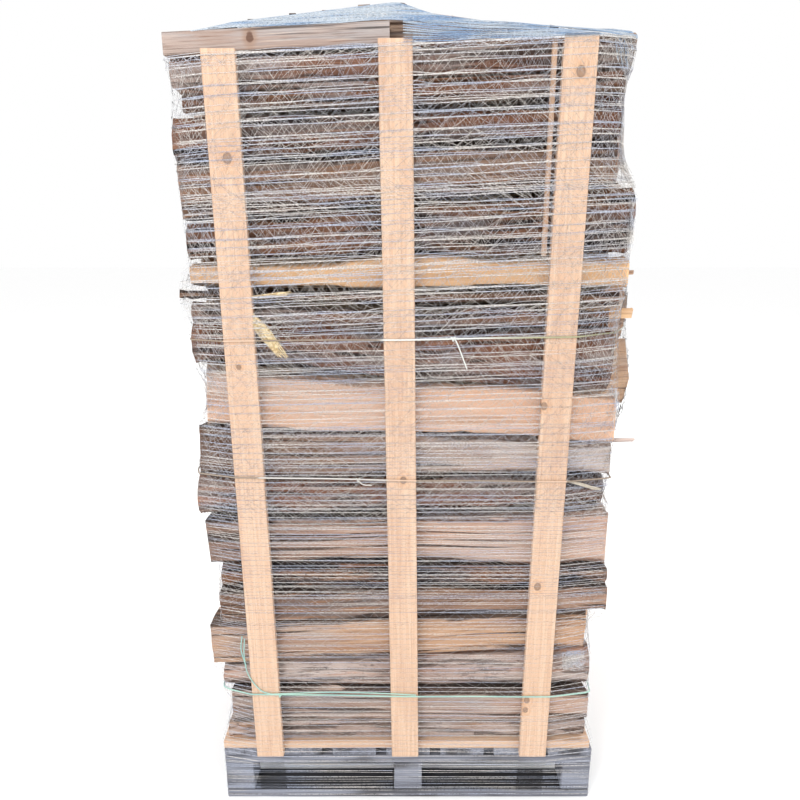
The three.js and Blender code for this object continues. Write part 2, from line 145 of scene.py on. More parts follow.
class Paint:
    """One material and the nodes in it."""

    def __init__(self, name, roughness=0.8):
        self.material = bpy.data.materials.new(name)
        self.material.use_nodes = True
        self.tree = self.material.node_tree
        self.surface = self.tree.nodes["Principled BSDF"]
        self.surface.inputs["Roughness"].default_value = roughness

    def node(self, kind, settings=None, values=None, output=0):
        made = self.tree.nodes.new(kind)
        for key, value in (settings or {}).items():
            setattr(made, key, value)
        for key, value in (values or {}).items():
            self.feed(made.inputs[key], value)
        return Wire(self, made.outputs[output])

    def feed(self, socket, value):
        if isinstance(value, Wire):
            self.tree.links.new(value.socket, socket)
        elif socket.type == "RGBA" and len(value) == 3:
            socket.default_value = (*value, 1.0)
        else:
            socket.default_value = value

    def attribute(self, name, output=2):
        """A value that each log keeps in its own mesh: 2 gives a number, 1 a vector."""
        return self.node("ShaderNodeAttribute", {"attribute_name": name}, output=output)

    def place(self):
        return self.node("ShaderNodeTexCoord", output=3)

    def stretch(self, vector, scale, shift=(0.0, 0.0, 0.0)):
        settings = {"operation": "MULTIPLY_ADD"}
        return self.node("ShaderNodeVectorMath", settings, {0: vector, 1: scale, 2: shift})

    def noise(self, vector, scale, detail=3.0, roughness=0.5):
        values = {"Vector": vector, "Scale": scale, "Detail": detail, "Roughness": roughness}
        return self.node("ShaderNodeTexNoise", None, values)

    def blend(self, amount, first, second):
        """Two colours mixed by an amount from 0 to 1."""
        settings = {"data_type": "RGBA", "blend_type": "MIX", "clamp_factor": True}
        return self.node("ShaderNodeMix", settings, {0: amount, 6: first, 7: second}, output=2)

    def finish(self, colour, height=None, depth=0.001):
        self.feed(self.surface.inputs["Base Color"], colour)
        if height is not None:
            values = {"Height": height, "Distance": depth, "Strength": 1.0}
            normal = self.node("ShaderNodeBump", None, values)
            self.feed(self.surface.inputs["Normal"], normal)
        return self.material


def tint(red, green, blue):
    """A colour given from 0 to 255, turned into the linear light that shaders use."""
    return tuple(((value / 255 + 0.055) / 1.055) ** 2.4 for value in (red, green, blue))


floor_paint = Paint("pale_floor", 0.9)
floor.data.materials.append(floor_paint.finish(tint(253, 253, 253)))
print("the paint tools are ready")

# %% [markdown]
# Firewood shows three kinds of surface. A split face is fibrous, with grain lines along the log.
# Bark is dark, rough and furrowed. A sawn end shows the growth rings and a rim of bark. One
# material covers all three: each face of a log says in the mesh which kind it is, and the place
# measured from the pith gives the rings.

# %% Firewood material
def split_face(paint, from_pith, hue, tone, grey):
    fibres = paint.noise(paint.stretch(from_pith, (7.0, 300.0, 300.0)), 1.0, 4.0, 0.65)
    streaks = paint.noise(paint.stretch(from_pith, (2.4, 46.0, 46.0)), 1.0, 4.0, 0.6)
    patches = paint.noise(paint.stretch(from_pith, (3.0, 11.0, 11.0)), 1.0, 3.0, 0.55)
    pale = paint.blend(hue, tint(226, 184, 140), tint(216, 174, 152))
    deep = paint.blend(hue, tint(160, 116, 78), tint(150, 112, 90))
    dark = paint.blend(hue, tint(104, 80, 60), tint(100, 72, 60))
    colour = paint.blend((1.0 - tone) * 0.6 + streaks.ramp(0.45, 0.68) * 0.5, pale, deep)
    colour = paint.blend((0.55 - tone) * 1.7, colour, dark)
    ashen = paint.blend(tone, tint(96, 86, 84), tint(206, 196, 192))
    colour = paint.blend(patches.ramp(0.44, 0.66) * (0.9 - tone * 0.7) + grey * 0.75, colour, ashen)
    colour = paint.blend(fibres.ramp(0.52, 0.70) * (1.2 - tone), colour, tint(86, 62, 50))
    colour = paint.blend(fibres.ramp(0.46, 0.28) * 0.4, colour, tint(236, 214, 194))
    cracks = paint.noise(paint.stretch(from_pith, (1.6, 75.0, 75.0), (3.0, 1.0, 7.0)), 1.0, 2.0, 0.5)
    crack = (cracks - tone * 0.08).ramp(0.575, 0.64)
    worn = (1.25 - tone).ramp(0.2, 0.6)
    ochre = (patches * streaks).ramp(0.27, 0.36) * (1.0 - tone)
    colour = paint.blend(ochre * 0.6, colour, tint(164, 112, 68))
    colour = paint.blend(crack * worn * 0.85, colour, tint(44, 33, 29))
    return colour, fibres + streaks * 0.8 - crack * worn * 1.5


def bark_face(paint, from_pith, hue, tone, grey):
    furrows = paint.noise(paint.stretch(from_pith, (5.0, 62.0, 62.0)), 1.0, 4.0, 0.6)
    crumbs = paint.noise(paint.stretch(from_pith, (40.0, 190.0, 190.0)), 1.0, 4.0, 0.7)
    patches = paint.noise(paint.stretch(from_pith, (4.0, 16.0, 16.0)), 1.0, 3.0, 0.55)
    layers = paint.noise(paint.stretch(from_pith, (2.6, 34.0, 34.0), (5.0, 2.0, 8.0)), 1.0, 3.0, 0.5)
    brown = paint.blend(hue, tint(118, 82, 56), tint(124, 80, 60))
    ashen = paint.blend(tone, tint(70, 62, 62), tint(166, 149, 142))
    colour = paint.blend(patches.ramp(0.42, 0.6), brown, ashen)
    colour = paint.blend((grey - 0.6) * 1.3, colour, tint(198, 182, 174))
    bare = layers.ramp(0.56, 0.66) * (0.35 + tone * 0.5)
    colour = paint.blend(bare, colour, paint.blend(hue, tint(182, 140, 98), tint(172, 120, 96)))
    colour = paint.blend(crumbs.ramp(0.5, 0.72) * 0.6, colour, tint(160, 136, 120))
    colour = paint.blend(crumbs.ramp(0.48, 0.34) * 0.6, colour, tint(60, 46, 42))
    # Painted shade: the bark turns almost black in its furrows, where the bump sinks in.
    colour = paint.blend(furrows.ramp(0.50, 0.38) * (1.15 - tone * 0.5), colour, tint(30, 23, 22))
    return colour, furrows * 2.4 + crumbs * 0.9 - bare * 0.3


def sawn_end(paint, from_pith, hue, tone, radius, grey):
    along = paint.node("ShaderNodeSeparateXYZ", None, {0: from_pith})
    across = Wire(paint, along.socket.node.outputs[1])
    up = Wire(paint, along.socket.node.outputs[2])
    wobble = paint.noise(paint.stretch(from_pith, (1.3, 22.0, 22.0)), 1.0, 2.0)
    distance = (across * across + up * up).math("SQRT") + wobble * 0.006
    rings = (distance * 1100.0).math("SINE") * 0.5 + 0.5
    bands = paint.noise(paint.node("ShaderNodeCombineXYZ", None,
                                   {0: distance * 90.0, 1: along * 5.3}), 1.0, 3.0, 0.6)
    angle = up.math("ARCTAN2", across)
    spokes = paint.noise(paint.node("ShaderNodeCombineXYZ", None,
                                    {0: angle * 7.0 + along * 2.9, 1: distance * 6.0,
                                     2: wobble + along * 7.1}), 1.0, 3.0, 0.6)
    saw = paint.noise(paint.stretch(from_pith, (0.0, 30.0, 420.0)), 1.0, 2.0)
    pale = paint.blend(hue, tint(222, 184, 136), tint(214, 164, 124))
    colour = paint.blend((1.0 - tone) * 0.85, pale, tint(136, 100, 74))
    colour = paint.blend(grey * 0.8, colour, tint(170, 156, 144))
    colour = paint.blend(rings * 0.25 + bands.ramp(0.42, 0.62) * 0.4, colour, tint(142, 98, 66))
    colour = paint.blend(saw.ramp(0.5, 0.7) * 0.3, colour, tint(196, 168, 138))
    heart = distance.ramp(0.05, 0.015)
    colour = paint.blend(heart * 0.45, colour, tint(132, 86, 54))
    cracks = spokes.ramp(0.36, 0.30)
    colour = paint.blend(cracks * 0.9, colour, tint(46, 32, 24))
    rim = (radius - distance).ramp(0.007, 0.003)
    colour = paint.blend(rim, colour, tint(72, 50, 38))
    return colour, rings * 0.25 + saw * 0.5 - cracks * 1.6


def from_knot(paint, x, z, size):
    """How far a place lies from a knot in front, in sizes of that knot; x, z and size are in metres."""
    parts = paint.node("ShaderNodeSeparateXYZ", None, {0: paint.place()})
    side = (parts - x) / size
    high = (Wire(paint, parts.socket.node.outputs[2]) - z) / (size * 1.25)
    behind = Wire(paint, parts.socket.node.outputs[1]).ramp(-0.485, -0.470)
    return (side * side + high * high).math("SQRT") + behind * 9.0


def firewood_material():
    paint = Paint("firewood", 0.85)
    from_pith = paint.attribute("from_pith", 1)
    hue = paint.attribute("hue")
    tone = paint.attribute("tone")
    bark = paint.attribute("bark")
    sawn = paint.attribute("sawn")
    radius = paint.attribute("round_radius")
    grey = paint.attribute("grey")
    edge = paint.attribute("edge")
    split_colour, split_height = split_face(paint, from_pith, hue, tone, grey)
    ragged = paint.noise(paint.stretch(from_pith, (6.0, 34.0, 34.0), (1.0, 4.0, 2.0)), 1.0, 4.0, 0.6)
    # Painted shade: split faces darken to a ragged dark brown band along the upper and lower sides of the
    # front logs, in the seams where they meet their neighbours.
    rim = (edge + (ragged - 0.5) * 0.055).ramp(0.013, 0.002)
    split_colour = paint.blend(rim * (1.2 - tone * 0.7), split_colour, tint(60, 46, 40))
    bark_colour, bark_height = bark_face(paint, from_pith, hue, tone, grey)
    end_colour, end_height = sawn_end(paint, from_pith, hue, tone, radius, grey)
    knot = from_knot(paint, -0.331, 1.913, 0.010) + (ragged - 0.5) * 1.5
    split_colour = paint.blend(knot.ramp(2.2, 0.9) * 0.5, split_colour, tint(150, 112, 84))
    split_colour = paint.blend(knot.ramp(1.0, 0.7) * 0.85, split_colour, tint(92, 62, 48))
    colour = paint.blend(bark, split_colour, bark_colour)
    colour = paint.blend(sawn, colour, end_colour)
    height = split_height * (1.0 - bark) + bark_height * bark
    height = height * (1.0 - sawn) + end_height * sawn
    return paint.finish(colour, height, 0.0022)


firewood = firewood_material()
print("firewood material has", len(firewood.node_tree.nodes), "nodes")

# %% [markdown]
# The logs lie where the solids put them, and their places come from the same rules: a column of
# known logs in front, and behind it courses of logs whose places are drawn from one repeatable
# row of pseudo-random numbers. Between two logs lies a plane, so they fit like split wood does.

# %% Sizes of the stack, in millimetres
HALF = 500.0
DECK_TOP = 162.0
BEARER_HEIGHT = 23.4
COURSES = 13
COURSE_HEIGHT = 135.5
LOGS_PER_COURSE = 8
LOG_PITCH = 111.0
FRONT_COLUMN_Y = -445.0
FIRST_COLUMN_Y = -334.0
LEFT_END = -488.0
RIGHT_END = 482.0
CROWN = 18.0
TOUCH = 0.3
LOG_GAP = 0.4
NEIGHBOUR_REACH = 270.0
LONG_LOGS = {6: 512.0, 7: 545.0, 8: 530.0, 10: 500.0}

# Height of the upper side at the left and right, the two ends, the face that shows, its hue from
# yellow to pink, its tone from dark to pale and its greyness, each at the left and the right
FRONT_LOGS = [
    ((228, 247), (-487, 480), "bark", 0.3, (1.0, 1.0), (0.95, 0.95)),
    ((352, 331), (-470, 478), "split", 0.8, (0.35, 0.5), (0.6, 0.4)),
    ((421, 463), (-490, 476), "bark", 0.8, (1.0, 1.0), (1.0, 1.0)),
    ((540, 573), (-515, 459), "split", 0.4, (0.4, 0.45), (0.2, 0.0)),
    ((649, 661), (-481, 508), "split", 0.7, (0.0, 0.3), (0.0, 0.2)),
    ((718, 702), (-476, 500), "bark", 0.4, (0.0, 0.05), (0.4, 0.5)),
    ((831, 852), (-501, 498), "split", 0.9, (0.15, 0.9), (0.4, 0.1)),
    ((947, 947), (-520, 478), "bark", 0.9, (0.45, 0.5), (0.2, 0.2)),
    ((1074, 1034), (-505, 487), "split", 0.6, (-0.15, 1.0), (0.1, 0.9)),
    ((1210, 1149), (-480, 488), "split", 0.7, (0.78, 1.3), (0.1, 0.0)),
    ((1312, 1303), (-508, 479), "bark", 0.8, (0.3, 0.75), (0.5, 0.2)),
    ((1361, 1349), (-499, 461), "bark", 0.3, (0.7, 0.5), (0.2, 0.6)),
    ((1394, 1396), (-521, 477), "split", 0.6, (0.0, 0.1), (0.0, 0.1)),
    ((1460, 1478), (-499, 494), "split", 0.1, (1.5, 1.5), (0.0, 0.0)),
    ((1548, 1632), (-501, 496), "bark", 0.4, (0.15, 0.15), (0.6, 0.6)),
    ((1665, 1713), (-503, 450), "split", 0.5, (0.1, 0.2), (0.2, 0.3)),
    ((1765, 1804), (-514, 453), "bark", 0.7, (0.3, 0.35), (0.6, 0.4)),
    ((1818, 1860), (-482, 452), "bark", 0.5, (0.8, 0.7), (0.3, 0.3)),
    ((1878, 1925), (-506, 456), "bark", 0.8, (0.95, 0.95), (0.65, 0.65)),
]


class Draws:
    """Repeatable pseudo-random numbers from 0 to 1."""

    def __init__(self, seed):
        self.state = seed

    def one(self):
        self.state = (self.state * 16807) % 2147483647
        return self.state / 2147483647

    def spread(self, reach):
        return (self.one() * 2 - 1) * reach


def lay_out_front(draws):
    floor_height = DECK_TOP + BEARER_HEIGHT + 2 * TOUCH
    below = (floor_height, floor_height)
    logs = []
    for index, (top, ends, face, hue, tone, grey) in enumerate(FRONT_LOGS):
        last = index == len(FRONT_LOGS) - 1
        slope = (top[1] - top[0]) / (2 * HALF)
        depth_slope = 0.0 if last else draws.spread(0.16)
        middles = ((top[0] + below[0]) / 2, (top[1] + below[1]) / 2)
        heights = (top[0] - below[0], top[1] - below[1])
        upper = ((-slope, -depth_slope, 1.0), sum(top) / 2 - depth_slope * FRONT_COLUMN_Y)
        recess = draws.one() * 14
        lean = draws.spread(0.1)
        skew = (draws.spread(0.05), draws.spread(0.05))
        logs.append({
            "name": f"front_log_{index + 1:02d}", "index": index, "face": face, "upper": upper,
            "heights": heights, "middles": middles, "ends": ends, "recess": recess, "lean": lean,
            "skew": skew, "y": FRONT_COLUMN_Y, "z": sum(middles) / 2, "radius": sum(heights) / 4,
            "levels": (below, (top[0] + 60, top[1] + 60) if last else top),
            "look": (hue, *tone, *grey),
        })
        below = top
    return logs


def lay_out_inner(draws):
    logs = []
    for course in range(COURSES):
        stagger = -LOG_PITCH / 4 if course % 2 else LOG_PITCH / 4
        for column in range(LOGS_PER_COURSE):
            arch = math.sin(math.pi * (column + 1) / (LOGS_PER_COURSE + 1))
            heaped = CROWN * arch if course == COURSES - 1 else 0.0
            long_end = LONG_LOGS.get(course) if column == 0 else None
            log = {"course": course, "column": column}
            log["y"] = FIRST_COLUMN_Y + stagger + LOG_PITCH * column + draws.spread(9)
            log["z"] = DECK_TOP + COURSE_HEIGHT * (course + 0.5) + heaped + draws.spread(12)
            log["radius"] = LOG_PITCH / 2 + draws.spread(9)
            log["bark_side"] = draws.one() * 2 * math.pi
            log["pith_shift"] = draws.one() * 55
            left = LEFT_END + draws.spread(24)
            log["ends"] = (left, (long_end or RIGHT_END) + draws.spread(3 if long_end else 24))
            log["roof"] = draws.spread(0.35)
            log["skew"] = (draws.spread(0.06), draws.spread(0.06))
            logs.append(log)
    return logs


layout_draws = Draws(2024)
front_logs = lay_out_front(layout_draws)
inner_logs = lay_out_inner(layout_draws)
print("logs:", len(front_logs), "in front and", len(inner_logs), "behind")

# %% [markdown]
# A log starts as a round, a cylinder as long as the log. Splitting it is the bisect operator: it
# cuts the round along a plane, throws one side away and fills the cut. After that the long edges
# are bevelled, and the faces are divided so that there are points to move for the rough surface.

# %% Planes that cut the logs
MM = 0.001


def plane_between(a, b):
    normal = (0.0, b["y"] - a["y"], b["z"] - a["z"])
    squares = b["y"] ** 2 + b["z"] ** 2 - a["y"] ** 2 - a["z"] ** 2
    return normal, (squares + a["radius"] ** 2 - b["radius"] ** 2) / 2


def flipped(plane):
    normal, offset = plane
    return tuple(-value for value in normal), -offset


def near(a, b):
    return math.hypot(a["y"] - b["y"], a["z"] - b["z"]) < NEIGHBOUR_REACH


def end_planes(log):
    one, two = log["skew"]
    left, right = log["ends"]
    return [
        ((1.0, one, two), right + one * log["y"] + two * log["z"]),
        ((-1.0, two, one), -left + two * log["y"] + one * log["z"]),
    ]


def front_planes(log):
    index = log["index"]
    planes = [flipped(other["upper"]) for other in front_logs[max(0, index - 2):index]]
    planes += [other["upper"] for other in front_logs[index:index + 2]]
    planes += [plane_between(log, other) for other in inner_logs if near(log, other)]
    if log["face"] == "split":
        lean = log["lean"]
        planes.append(((0.0, -1.0, lean), HALF - log["recess"] + lean * log["z"]))
    planes.append(((0.0, -1.0, 0.0), HALF - TOUCH))
    planes.append(((0.0, 0.0, -1.0), -(DECK_TOP + BEARER_HEIGHT + 2 * TOUCH)))
    return planes + end_planes(log)


def inner_planes(log):
    planes = [plane_between(log, other) for other in inner_logs
              if other is not log and near(log, other)]
    planes += [plane_between(log, other) for other in front_logs if near(log, other)]
    if log["course"] == COURSES - 1:
        top = log["z"] + 0.38 * COURSE_HEIGHT
        planes.append(((0.0, log["roof"], 1.0), top + log["roof"] * log["y"]))
    on_bearer = log["column"] == LOGS_PER_COURSE - 1
    seat = DECK_TOP + 2 * TOUCH + (BEARER_HEIGHT if on_bearer else 0.0)
    planes.append(((0.0, 0.0, -1.0), -seat))
    planes.append(((0.0, 1.0, 0.0), HALF - TOUCH))
    return planes + end_planes(log)


print("the lowest front log is cut by", len(front_planes(front_logs[0])), "planes")

# %% Round, split and divide one log
def start_round(left, right, radii, sides):
    """A round of wood from the left to the right point, in millimetres."""
    run = (Vector(right) - Vector(left)) * MM
    middle = (Vector(right) + Vector(left)) * MM / 2
    turn = (0.0, math.pi / 2 - math.asin(run.z / run.length), math.atan2(run.y, run.x))
    bpy.ops.object.select_all(action="DESELECT")
    bpy.ops.mesh.primitive_cone_add(
        vertices=sides, radius1=radii[0] * MM, radius2=radii[1] * MM, depth=run.length,
        location=middle, rotation=turn, end_fill_type="NGON")
    bpy.ops.object.transform_apply(location=True, rotation=True, scale=True)
    return bpy.context.object


def cut_away(plane, clearance):
    """Cuts the log in edit mode and keeps the side that the plane's normal points away from."""
    normal, offset = plane
    length = math.hypot(*normal)
    unit = Vector(normal) / length
    point = unit * (offset / length - clearance) * MM
    bpy.ops.mesh.select_all(action="SELECT")
    bpy.ops.mesh.bisect(plane_co=point, plane_no=unit, use_fill=True, clear_outer=True)


def pick_edges(mesh, wanted):
    """Selects the edges for which wanted(edge) is true, and says how many there are."""
    work = bmesh.from_edit_mesh(mesh)
    count = 0
    for part in (work.verts, work.edges, work.faces):
        for element in part:
            element.select = False
    for edge in work.edges:
        if wanted(edge):
            edge.select = True
            count += 1
    bmesh.update_edit_mesh(mesh)
    return count


def runs_along(edge):
    run = edge.verts[1].co - edge.verts[0].co
    return run.length > 0.05 and abs(run.x) > 0.9 * run.length


def is_corner(edge):
    return len(edge.link_faces) == 2 and runs_along(edge) and edge.calc_face_angle(0) > math.radians(24)


def divide_log(mesh, bevel, steps, width):
    if pick_edges(mesh, is_corner):
        bpy.ops.mesh.bevel(offset=bevel, segments=2, affect="EDGES", clamp_overlap=True)
    if pick_edges(mesh, runs_along):
        bpy.ops.mesh.subdivide(number_cuts=steps)
    for _ in range(4):
        wide = pick_edges(mesh, lambda edge: edge.calc_length() > width
                          and abs(edge.verts[1].co.x - edge.verts[0].co.x) < 0.3 * edge.calc_length())
        if not wide:
            break
        bpy.ops.mesh.subdivide(number_cuts=1)


def split_log(left, right, radii, planes, sides, bevel, steps, width):
    log = start_round(left, right, radii, sides)
    bpy.ops.object.mode_set(mode="EDIT")
    bpy.context.tool_settings.mesh_select_mode = (False, True, False)
    for plane in planes:
        cut_away(plane, LOG_GAP / 2)
    divide_log(log.data, bevel, steps, width)
    bpy.ops.object.mode_set(mode="OBJECT")
    return log


print("the splitting tools are ready")

# %% [markdown]
# The rough surface comes from noise, drawn at the points of the mesh. Along a split face it is
# stretched into long fibres, and on bark it is folded into ridges with furrows between them. The
# points only move inwards, so a log never grows into its neighbour, and the gaps turn dark.

# %% Noise for the rough surfaces
def random_lattice(x, y, z, seed):
    mixed = (x * 374761393 + y * 668265263 + z * 1274126177 + seed * 69069) & 0xFFFFFFFF
    mixed = ((mixed ^ (mixed >> 13)) * 1103515245) & 0xFFFFFFFF
    mixed = ((mixed ^ (mixed >> 16)) * 668265263) & 0xFFFFFFFF
    return (mixed & 0xFFFFFF) / 0xFFFFFF * 2 - 1


def noise_at(points, scale, seed):
    """Smooth noise from -1 to 1 at points, stretched by a scale along each axis."""
    scaled = points * np.array(scale)
    cell = np.floor(scaled).astype(np.int64)
    part = scaled - cell
    part = part * part * (3 - 2 * part)
    total = np.zeros(len(points))
    for corner in range(8):
        step = np.array([corner & 1, corner >> 1 & 1, corner >> 2 & 1])
        weight = np.where(step, part, 1 - part).prod(axis=1)
        total += weight * random_lattice(*(cell + step).T, seed)
    return total


def coordinates(mesh):
    co = np.empty(len(mesh.vertices) * 3)
    mesh.vertices.foreach_get("co", co)
    return co.reshape(-1, 3)


def directions(mesh):
    normals = np.empty(len(mesh.vertices) * 3)
    mesh.vertices.foreach_get("normal", normals)
    return normals.reshape(-1, 3)


def write_coordinates(mesh, co):
    mesh.vertices.foreach_set("co", np.asarray(co, dtype=np.float64).ravel())
    mesh.update()


# %% Surface of a log
BARK_DEPTH = 0.0075
SPLIT_DEPTH = 0.0060
HOLLOW_DEPTH = 0.0110
EDGE_BITE = 0.016


def face_values(mesh):
    centres = np.empty(len(mesh.polygons) * 3)
    normals = np.empty(len(mesh.polygons) * 3)
    mesh.polygons.foreach_get("center", centres)
    mesh.polygons.foreach_get("normal", normals)
    return centres.reshape(-1, 3), normals.reshape(-1, 3)


def write_values(mesh, name, domain, values, kind="FLOAT"):
    attribute = mesh.attributes.new(name, kind, domain)
    key = "vector" if kind == "FLOAT_VECTOR" else "value"
    attribute.data.foreach_set(key, np.asarray(values, dtype=np.float32).ravel())


def distance_to_pith(points, pith):
    """How far points are from the pith, which runs from one point to another, in metres."""
    start, end = np.array(pith[0]) * MM, np.array(pith[1]) * MM
    share = ((points[:, 0] - start[0]) / (end[0] - start[0]))[:, None]
    middle = start + share * (end - start)
    return points[:, 1:] - middle[:, 1:]


def mark_surfaces(log, pith, radii, seed, look, edge):
    mesh = log.data
    centres, normals = face_values(mesh)
    share = (centres[:, 0] * 1000 - pith[0][0]) / (pith[1][0] - pith[0][0])
    radius = (radii[0] + (radii[1] - radii[0]) * share) * MM
    out = np.linalg.norm(distance_to_pith(centres, pith), axis=1)
    sawn = np.abs(normals[:, 0]) > 0.75
    bark = (out > radius * 0.955) & ~sawn
    write_values(mesh, "sawn", "FACE", sawn)
    write_values(mesh, "bark", "FACE", bark)
    write_values(mesh, "round_radius", "FACE", radius)
    write_values(mesh, "hue", "FACE", np.full(len(centres), look[0]))
    side = (centres[:, 0] + 0.5).clip(0, 1)
    write_values(mesh, "tone", "FACE", look[1] + (look[2] - look[1]) * side)
    write_values(mesh, "grey", "FACE", look[3] + (look[4] - look[3]) * side)
    # The distance to a front log's upper and lower sides also places the painted shade along its seams in
    # the material.
    write_values(mesh, "edge", "POINT", edge)
    co = coordinates(mesh)
    across = distance_to_pith(co, pith)
    from_pith = np.column_stack([co[:, 0] + seed * 3.7, across])
    write_values(mesh, "from_pith", "POINT", from_pith, "FLOAT_VECTOR")
    return bark, sawn


WAVE_HEIGHT = 0.010


def bend_with_stack(co):
    """Bends the rows a little up and down, all in step, so that no two logs meet."""
    place = np.column_stack([co[:, 0], np.zeros(len(co)), co[:, 2]])
    wave = noise_at(place, (4.3, 1.0, 4.6), 71) * WAVE_HEIGHT
    fade = ((co[:, 2] - 0.19) / 0.2).clip(0, 1) * ((1.86 - co[:, 2]) / 0.2).clip(0, 1)
    co[:, 2] += wave * fade


def edge_distance(co, levels):
    """How far points are from the upper and lower side of a front log; others count as far."""
    if levels is None:
        return np.full(len(co), 1.0)
    share = (co[:, 0] * 1000 + HALF) / (2 * HALF)
    (low_left, low_right), (high_left, high_right) = levels
    low = (low_left + (low_right - low_left) * share) * MM
    high = (high_left + (high_right - high_left) * share) * MM
    return np.minimum(co[:, 2] - low, high - co[:, 2]).clip(0, 1)


def share_of_faces(mesh, flags):
    """How much of each point's surroundings is flagged, from 0 to 1."""
    total = np.zeros(len(mesh.vertices))
    flagged = np.zeros(len(mesh.vertices))
    corners = np.empty(len(mesh.loops), dtype=np.int64)
    mesh.loops.foreach_get("vertex_index", corners)
    counts = np.empty(len(mesh.polygons), dtype=np.int64)
    mesh.polygons.foreach_get("loop_total", counts)
    np.add.at(total, corners, 1)
    np.add.at(flagged, corners, np.repeat(flags, counts))
    return flagged / np.maximum(total, 1)


def roughen(log, pith, radii, seed, look, depth=1.0, levels=None):
    """Marks and roughens a log. levels gives the undersides and tops of a front log along X."""
    mesh = log.data
    edge = edge_distance(coordinates(mesh), levels)
    bark, sawn = mark_surfaces(log, pith, radii, seed, look, edge)
    bark_share = share_of_faces(mesh, bark)
    side_share = 1 - share_of_faces(mesh, sawn)
    co = coordinates(mesh)
    normals = directions(mesh)
    normals[:, 0] *= 0.3
    place = np.column_stack([co[:, 0] + seed * 3.7, distance_to_pith(co, pith)])
    ridges = np.abs(noise_at(place, (6, 46, 46), seed)) * 0.7
    ridges += np.abs(noise_at(place, (17, 90, 90), seed + 1)) * 0.3
    swell = noise_at(place, (4, 14, 14), seed + 2) * 0.5 + 0.5
    fibres = noise_at(place, (4, 130, 130), seed + 3) * 0.5 + 0.5
    ledges = noise_at(place, (1.8, 30, 30), seed + 4)
    ledges = ((ledges - 0.05) * 6).clip(0, 1)
    hollows = noise_at(place, (2.4, 5, 5), seed + 5).clip(0, 1) ** 0.7
    bark_depth = BARK_DEPTH * (0.7 * (1 - ridges * 2.2).clip(0, 1) + 0.6 * ledges + 0.4 * swell)
    split_depth = SPLIT_DEPTH * (0.25 * fibres + 0.6 * ledges + 0.4 * swell)
    inward = bark_depth * bark_share + split_depth * (1 - bark_share) + HOLLOW_DEPTH * hollows
    ragged = noise_at(place, (7, 1, 1), seed + 6) * 0.011 + noise_at(place, (24, 1, 1), seed + 7) * 0.005
    near_end = ((HALF * MM - np.abs(co[:, 0])) / 0.09).clip(0.15, 1)
    bite = ((0.010 + ragged - edge) / 0.012).clip(0, 1) * near_end
    inward += EDGE_BITE * bite * (0.3 + 0.7 * (-normals[:, 1]).clip(0, 1))
    co -= normals * (inward * (0.25 + 0.75 * side_share) * depth)[:, None]
    bend_with_stack(co)
    write_coordinates(mesh, co)
    bpy.ops.object.shade_smooth_by_angle(angle=math.radians(48))
    mesh.materials.clear()
    mesh.materials.append(firewood)


# %% [markdown]
# The front column is what the eye meets first. Logs that show bark are rounds just behind the
# front plane; logs that show a split face are cut from a thicker trunk, along a leaning plane.

# %% Front column
OVERRUN = 40.0


def front_round(log):
    bark = log["face"] == "bark"
    factor, least = (0.58, 42.0) if bark else (0.85, 78.0)
    radii = [max(factor * height, least) for height in log["heights"]]
    depths = [-HALF + radius + log["recess"] if bark else FRONT_COLUMN_Y for radius in radii]
    tilt = (log["middles"][1] - log["middles"][0]) / (2 * HALF)
    left = (-HALF - OVERRUN, depths[0], log["middles"][0] - tilt * OVERRUN)
    right = (HALF + OVERRUN, depths[1], log["middles"][1] + tilt * OVERRUN)
    return left, right, radii


for log in front_logs:
    left, right, radii = front_round(log)
    piece = split_log(left, right, radii, front_planes(log), 40, 0.007, 120, 0.0068)
    roughen(piece, (left, right), radii, log["index"] + 1, log["look"], 1.0, log["levels"])
    piece.name = log["name"] + "_wood"
    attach(piece, "root")
    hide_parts(log["name"])
    "bark" if log["face"] == "bark" else "split_wood"

# %% [markdown]
# Behind the front column only the sawn ends and a few backs and tops are seen, so these logs get
# fewer faces. Each course is one piece, because the solids keep each course as one node.

# %% Inner courses
def join_pieces(pieces, name):
    bpy.ops.object.select_all(action="DESELECT")
    for piece in pieces:
        piece.select_set(True)
    bpy.context.view_layer.objects.active = pieces[0]
    if len(pieces) > 1:
        bpy.ops.object.join()
    pieces[0].name = name
    return pieces[0]


def inner_log(log, seed):
    shift = log["pith_shift"]
    pith_y = log["y"] + shift * math.cos(log["bark_side"])
    pith_z = log["z"] + shift * math.sin(log["bark_side"])
    radius = shift + 0.66 * LOG_PITCH
    left = (-HALF - 80.0, pith_y, pith_z)
    right = (HALF + 80.0, pith_y, pith_z)
    outer = log["column"] == LOGS_PER_COURSE - 1 or log["course"] == COURSES - 1
    steps, width = (70, 0.010) if outer else (14, 0.016)
    piece = split_log(left, right, (radius, radius), inner_planes(log), 40, 0.007, steps, width)
    tone = 0.35 + 0.6 * (seed * 61 % 100) / 100
    greyness = 0.6 * (seed * 23 % 100) / 100
    look = ((seed * 37 % 100) / 100, tone, tone, greyness, greyness)
    roughen(piece, (left, right), (radius, radius), seed, look)
    return piece


for course in range(COURSES):
    number = len(FRONT_LOGS) + course * LOGS_PER_COURSE + 1
    logs = [log for log in inner_logs if log["course"] == course]
    pieces = [inner_log(log, number + index) for index, log in enumerate(logs)]
    name = f"inner_course_{course + 1:02d}"
    piece = join_pieces(pieces, name + "_wood")
    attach(piece, "root")
    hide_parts(name)
print("inner courses are stacked")

# %% [markdown]
# On top lie a short split piece, at the left of the front, and a round laid across the middle. The
# round is what lifts the net like the pole of a tent.

# %% Pieces on the top
def box_planes(low, high):
    """The six planes of a box, in millimetres, for cutting."""
    planes = []
    for axis in range(3):
        for side, corner in ((-1.0, low), (1.0, high)):
            normal = [0.0, 0.0, 0.0]
            normal[axis] = side
            planes.append((tuple(normal), side * corner[axis]))
    return planes


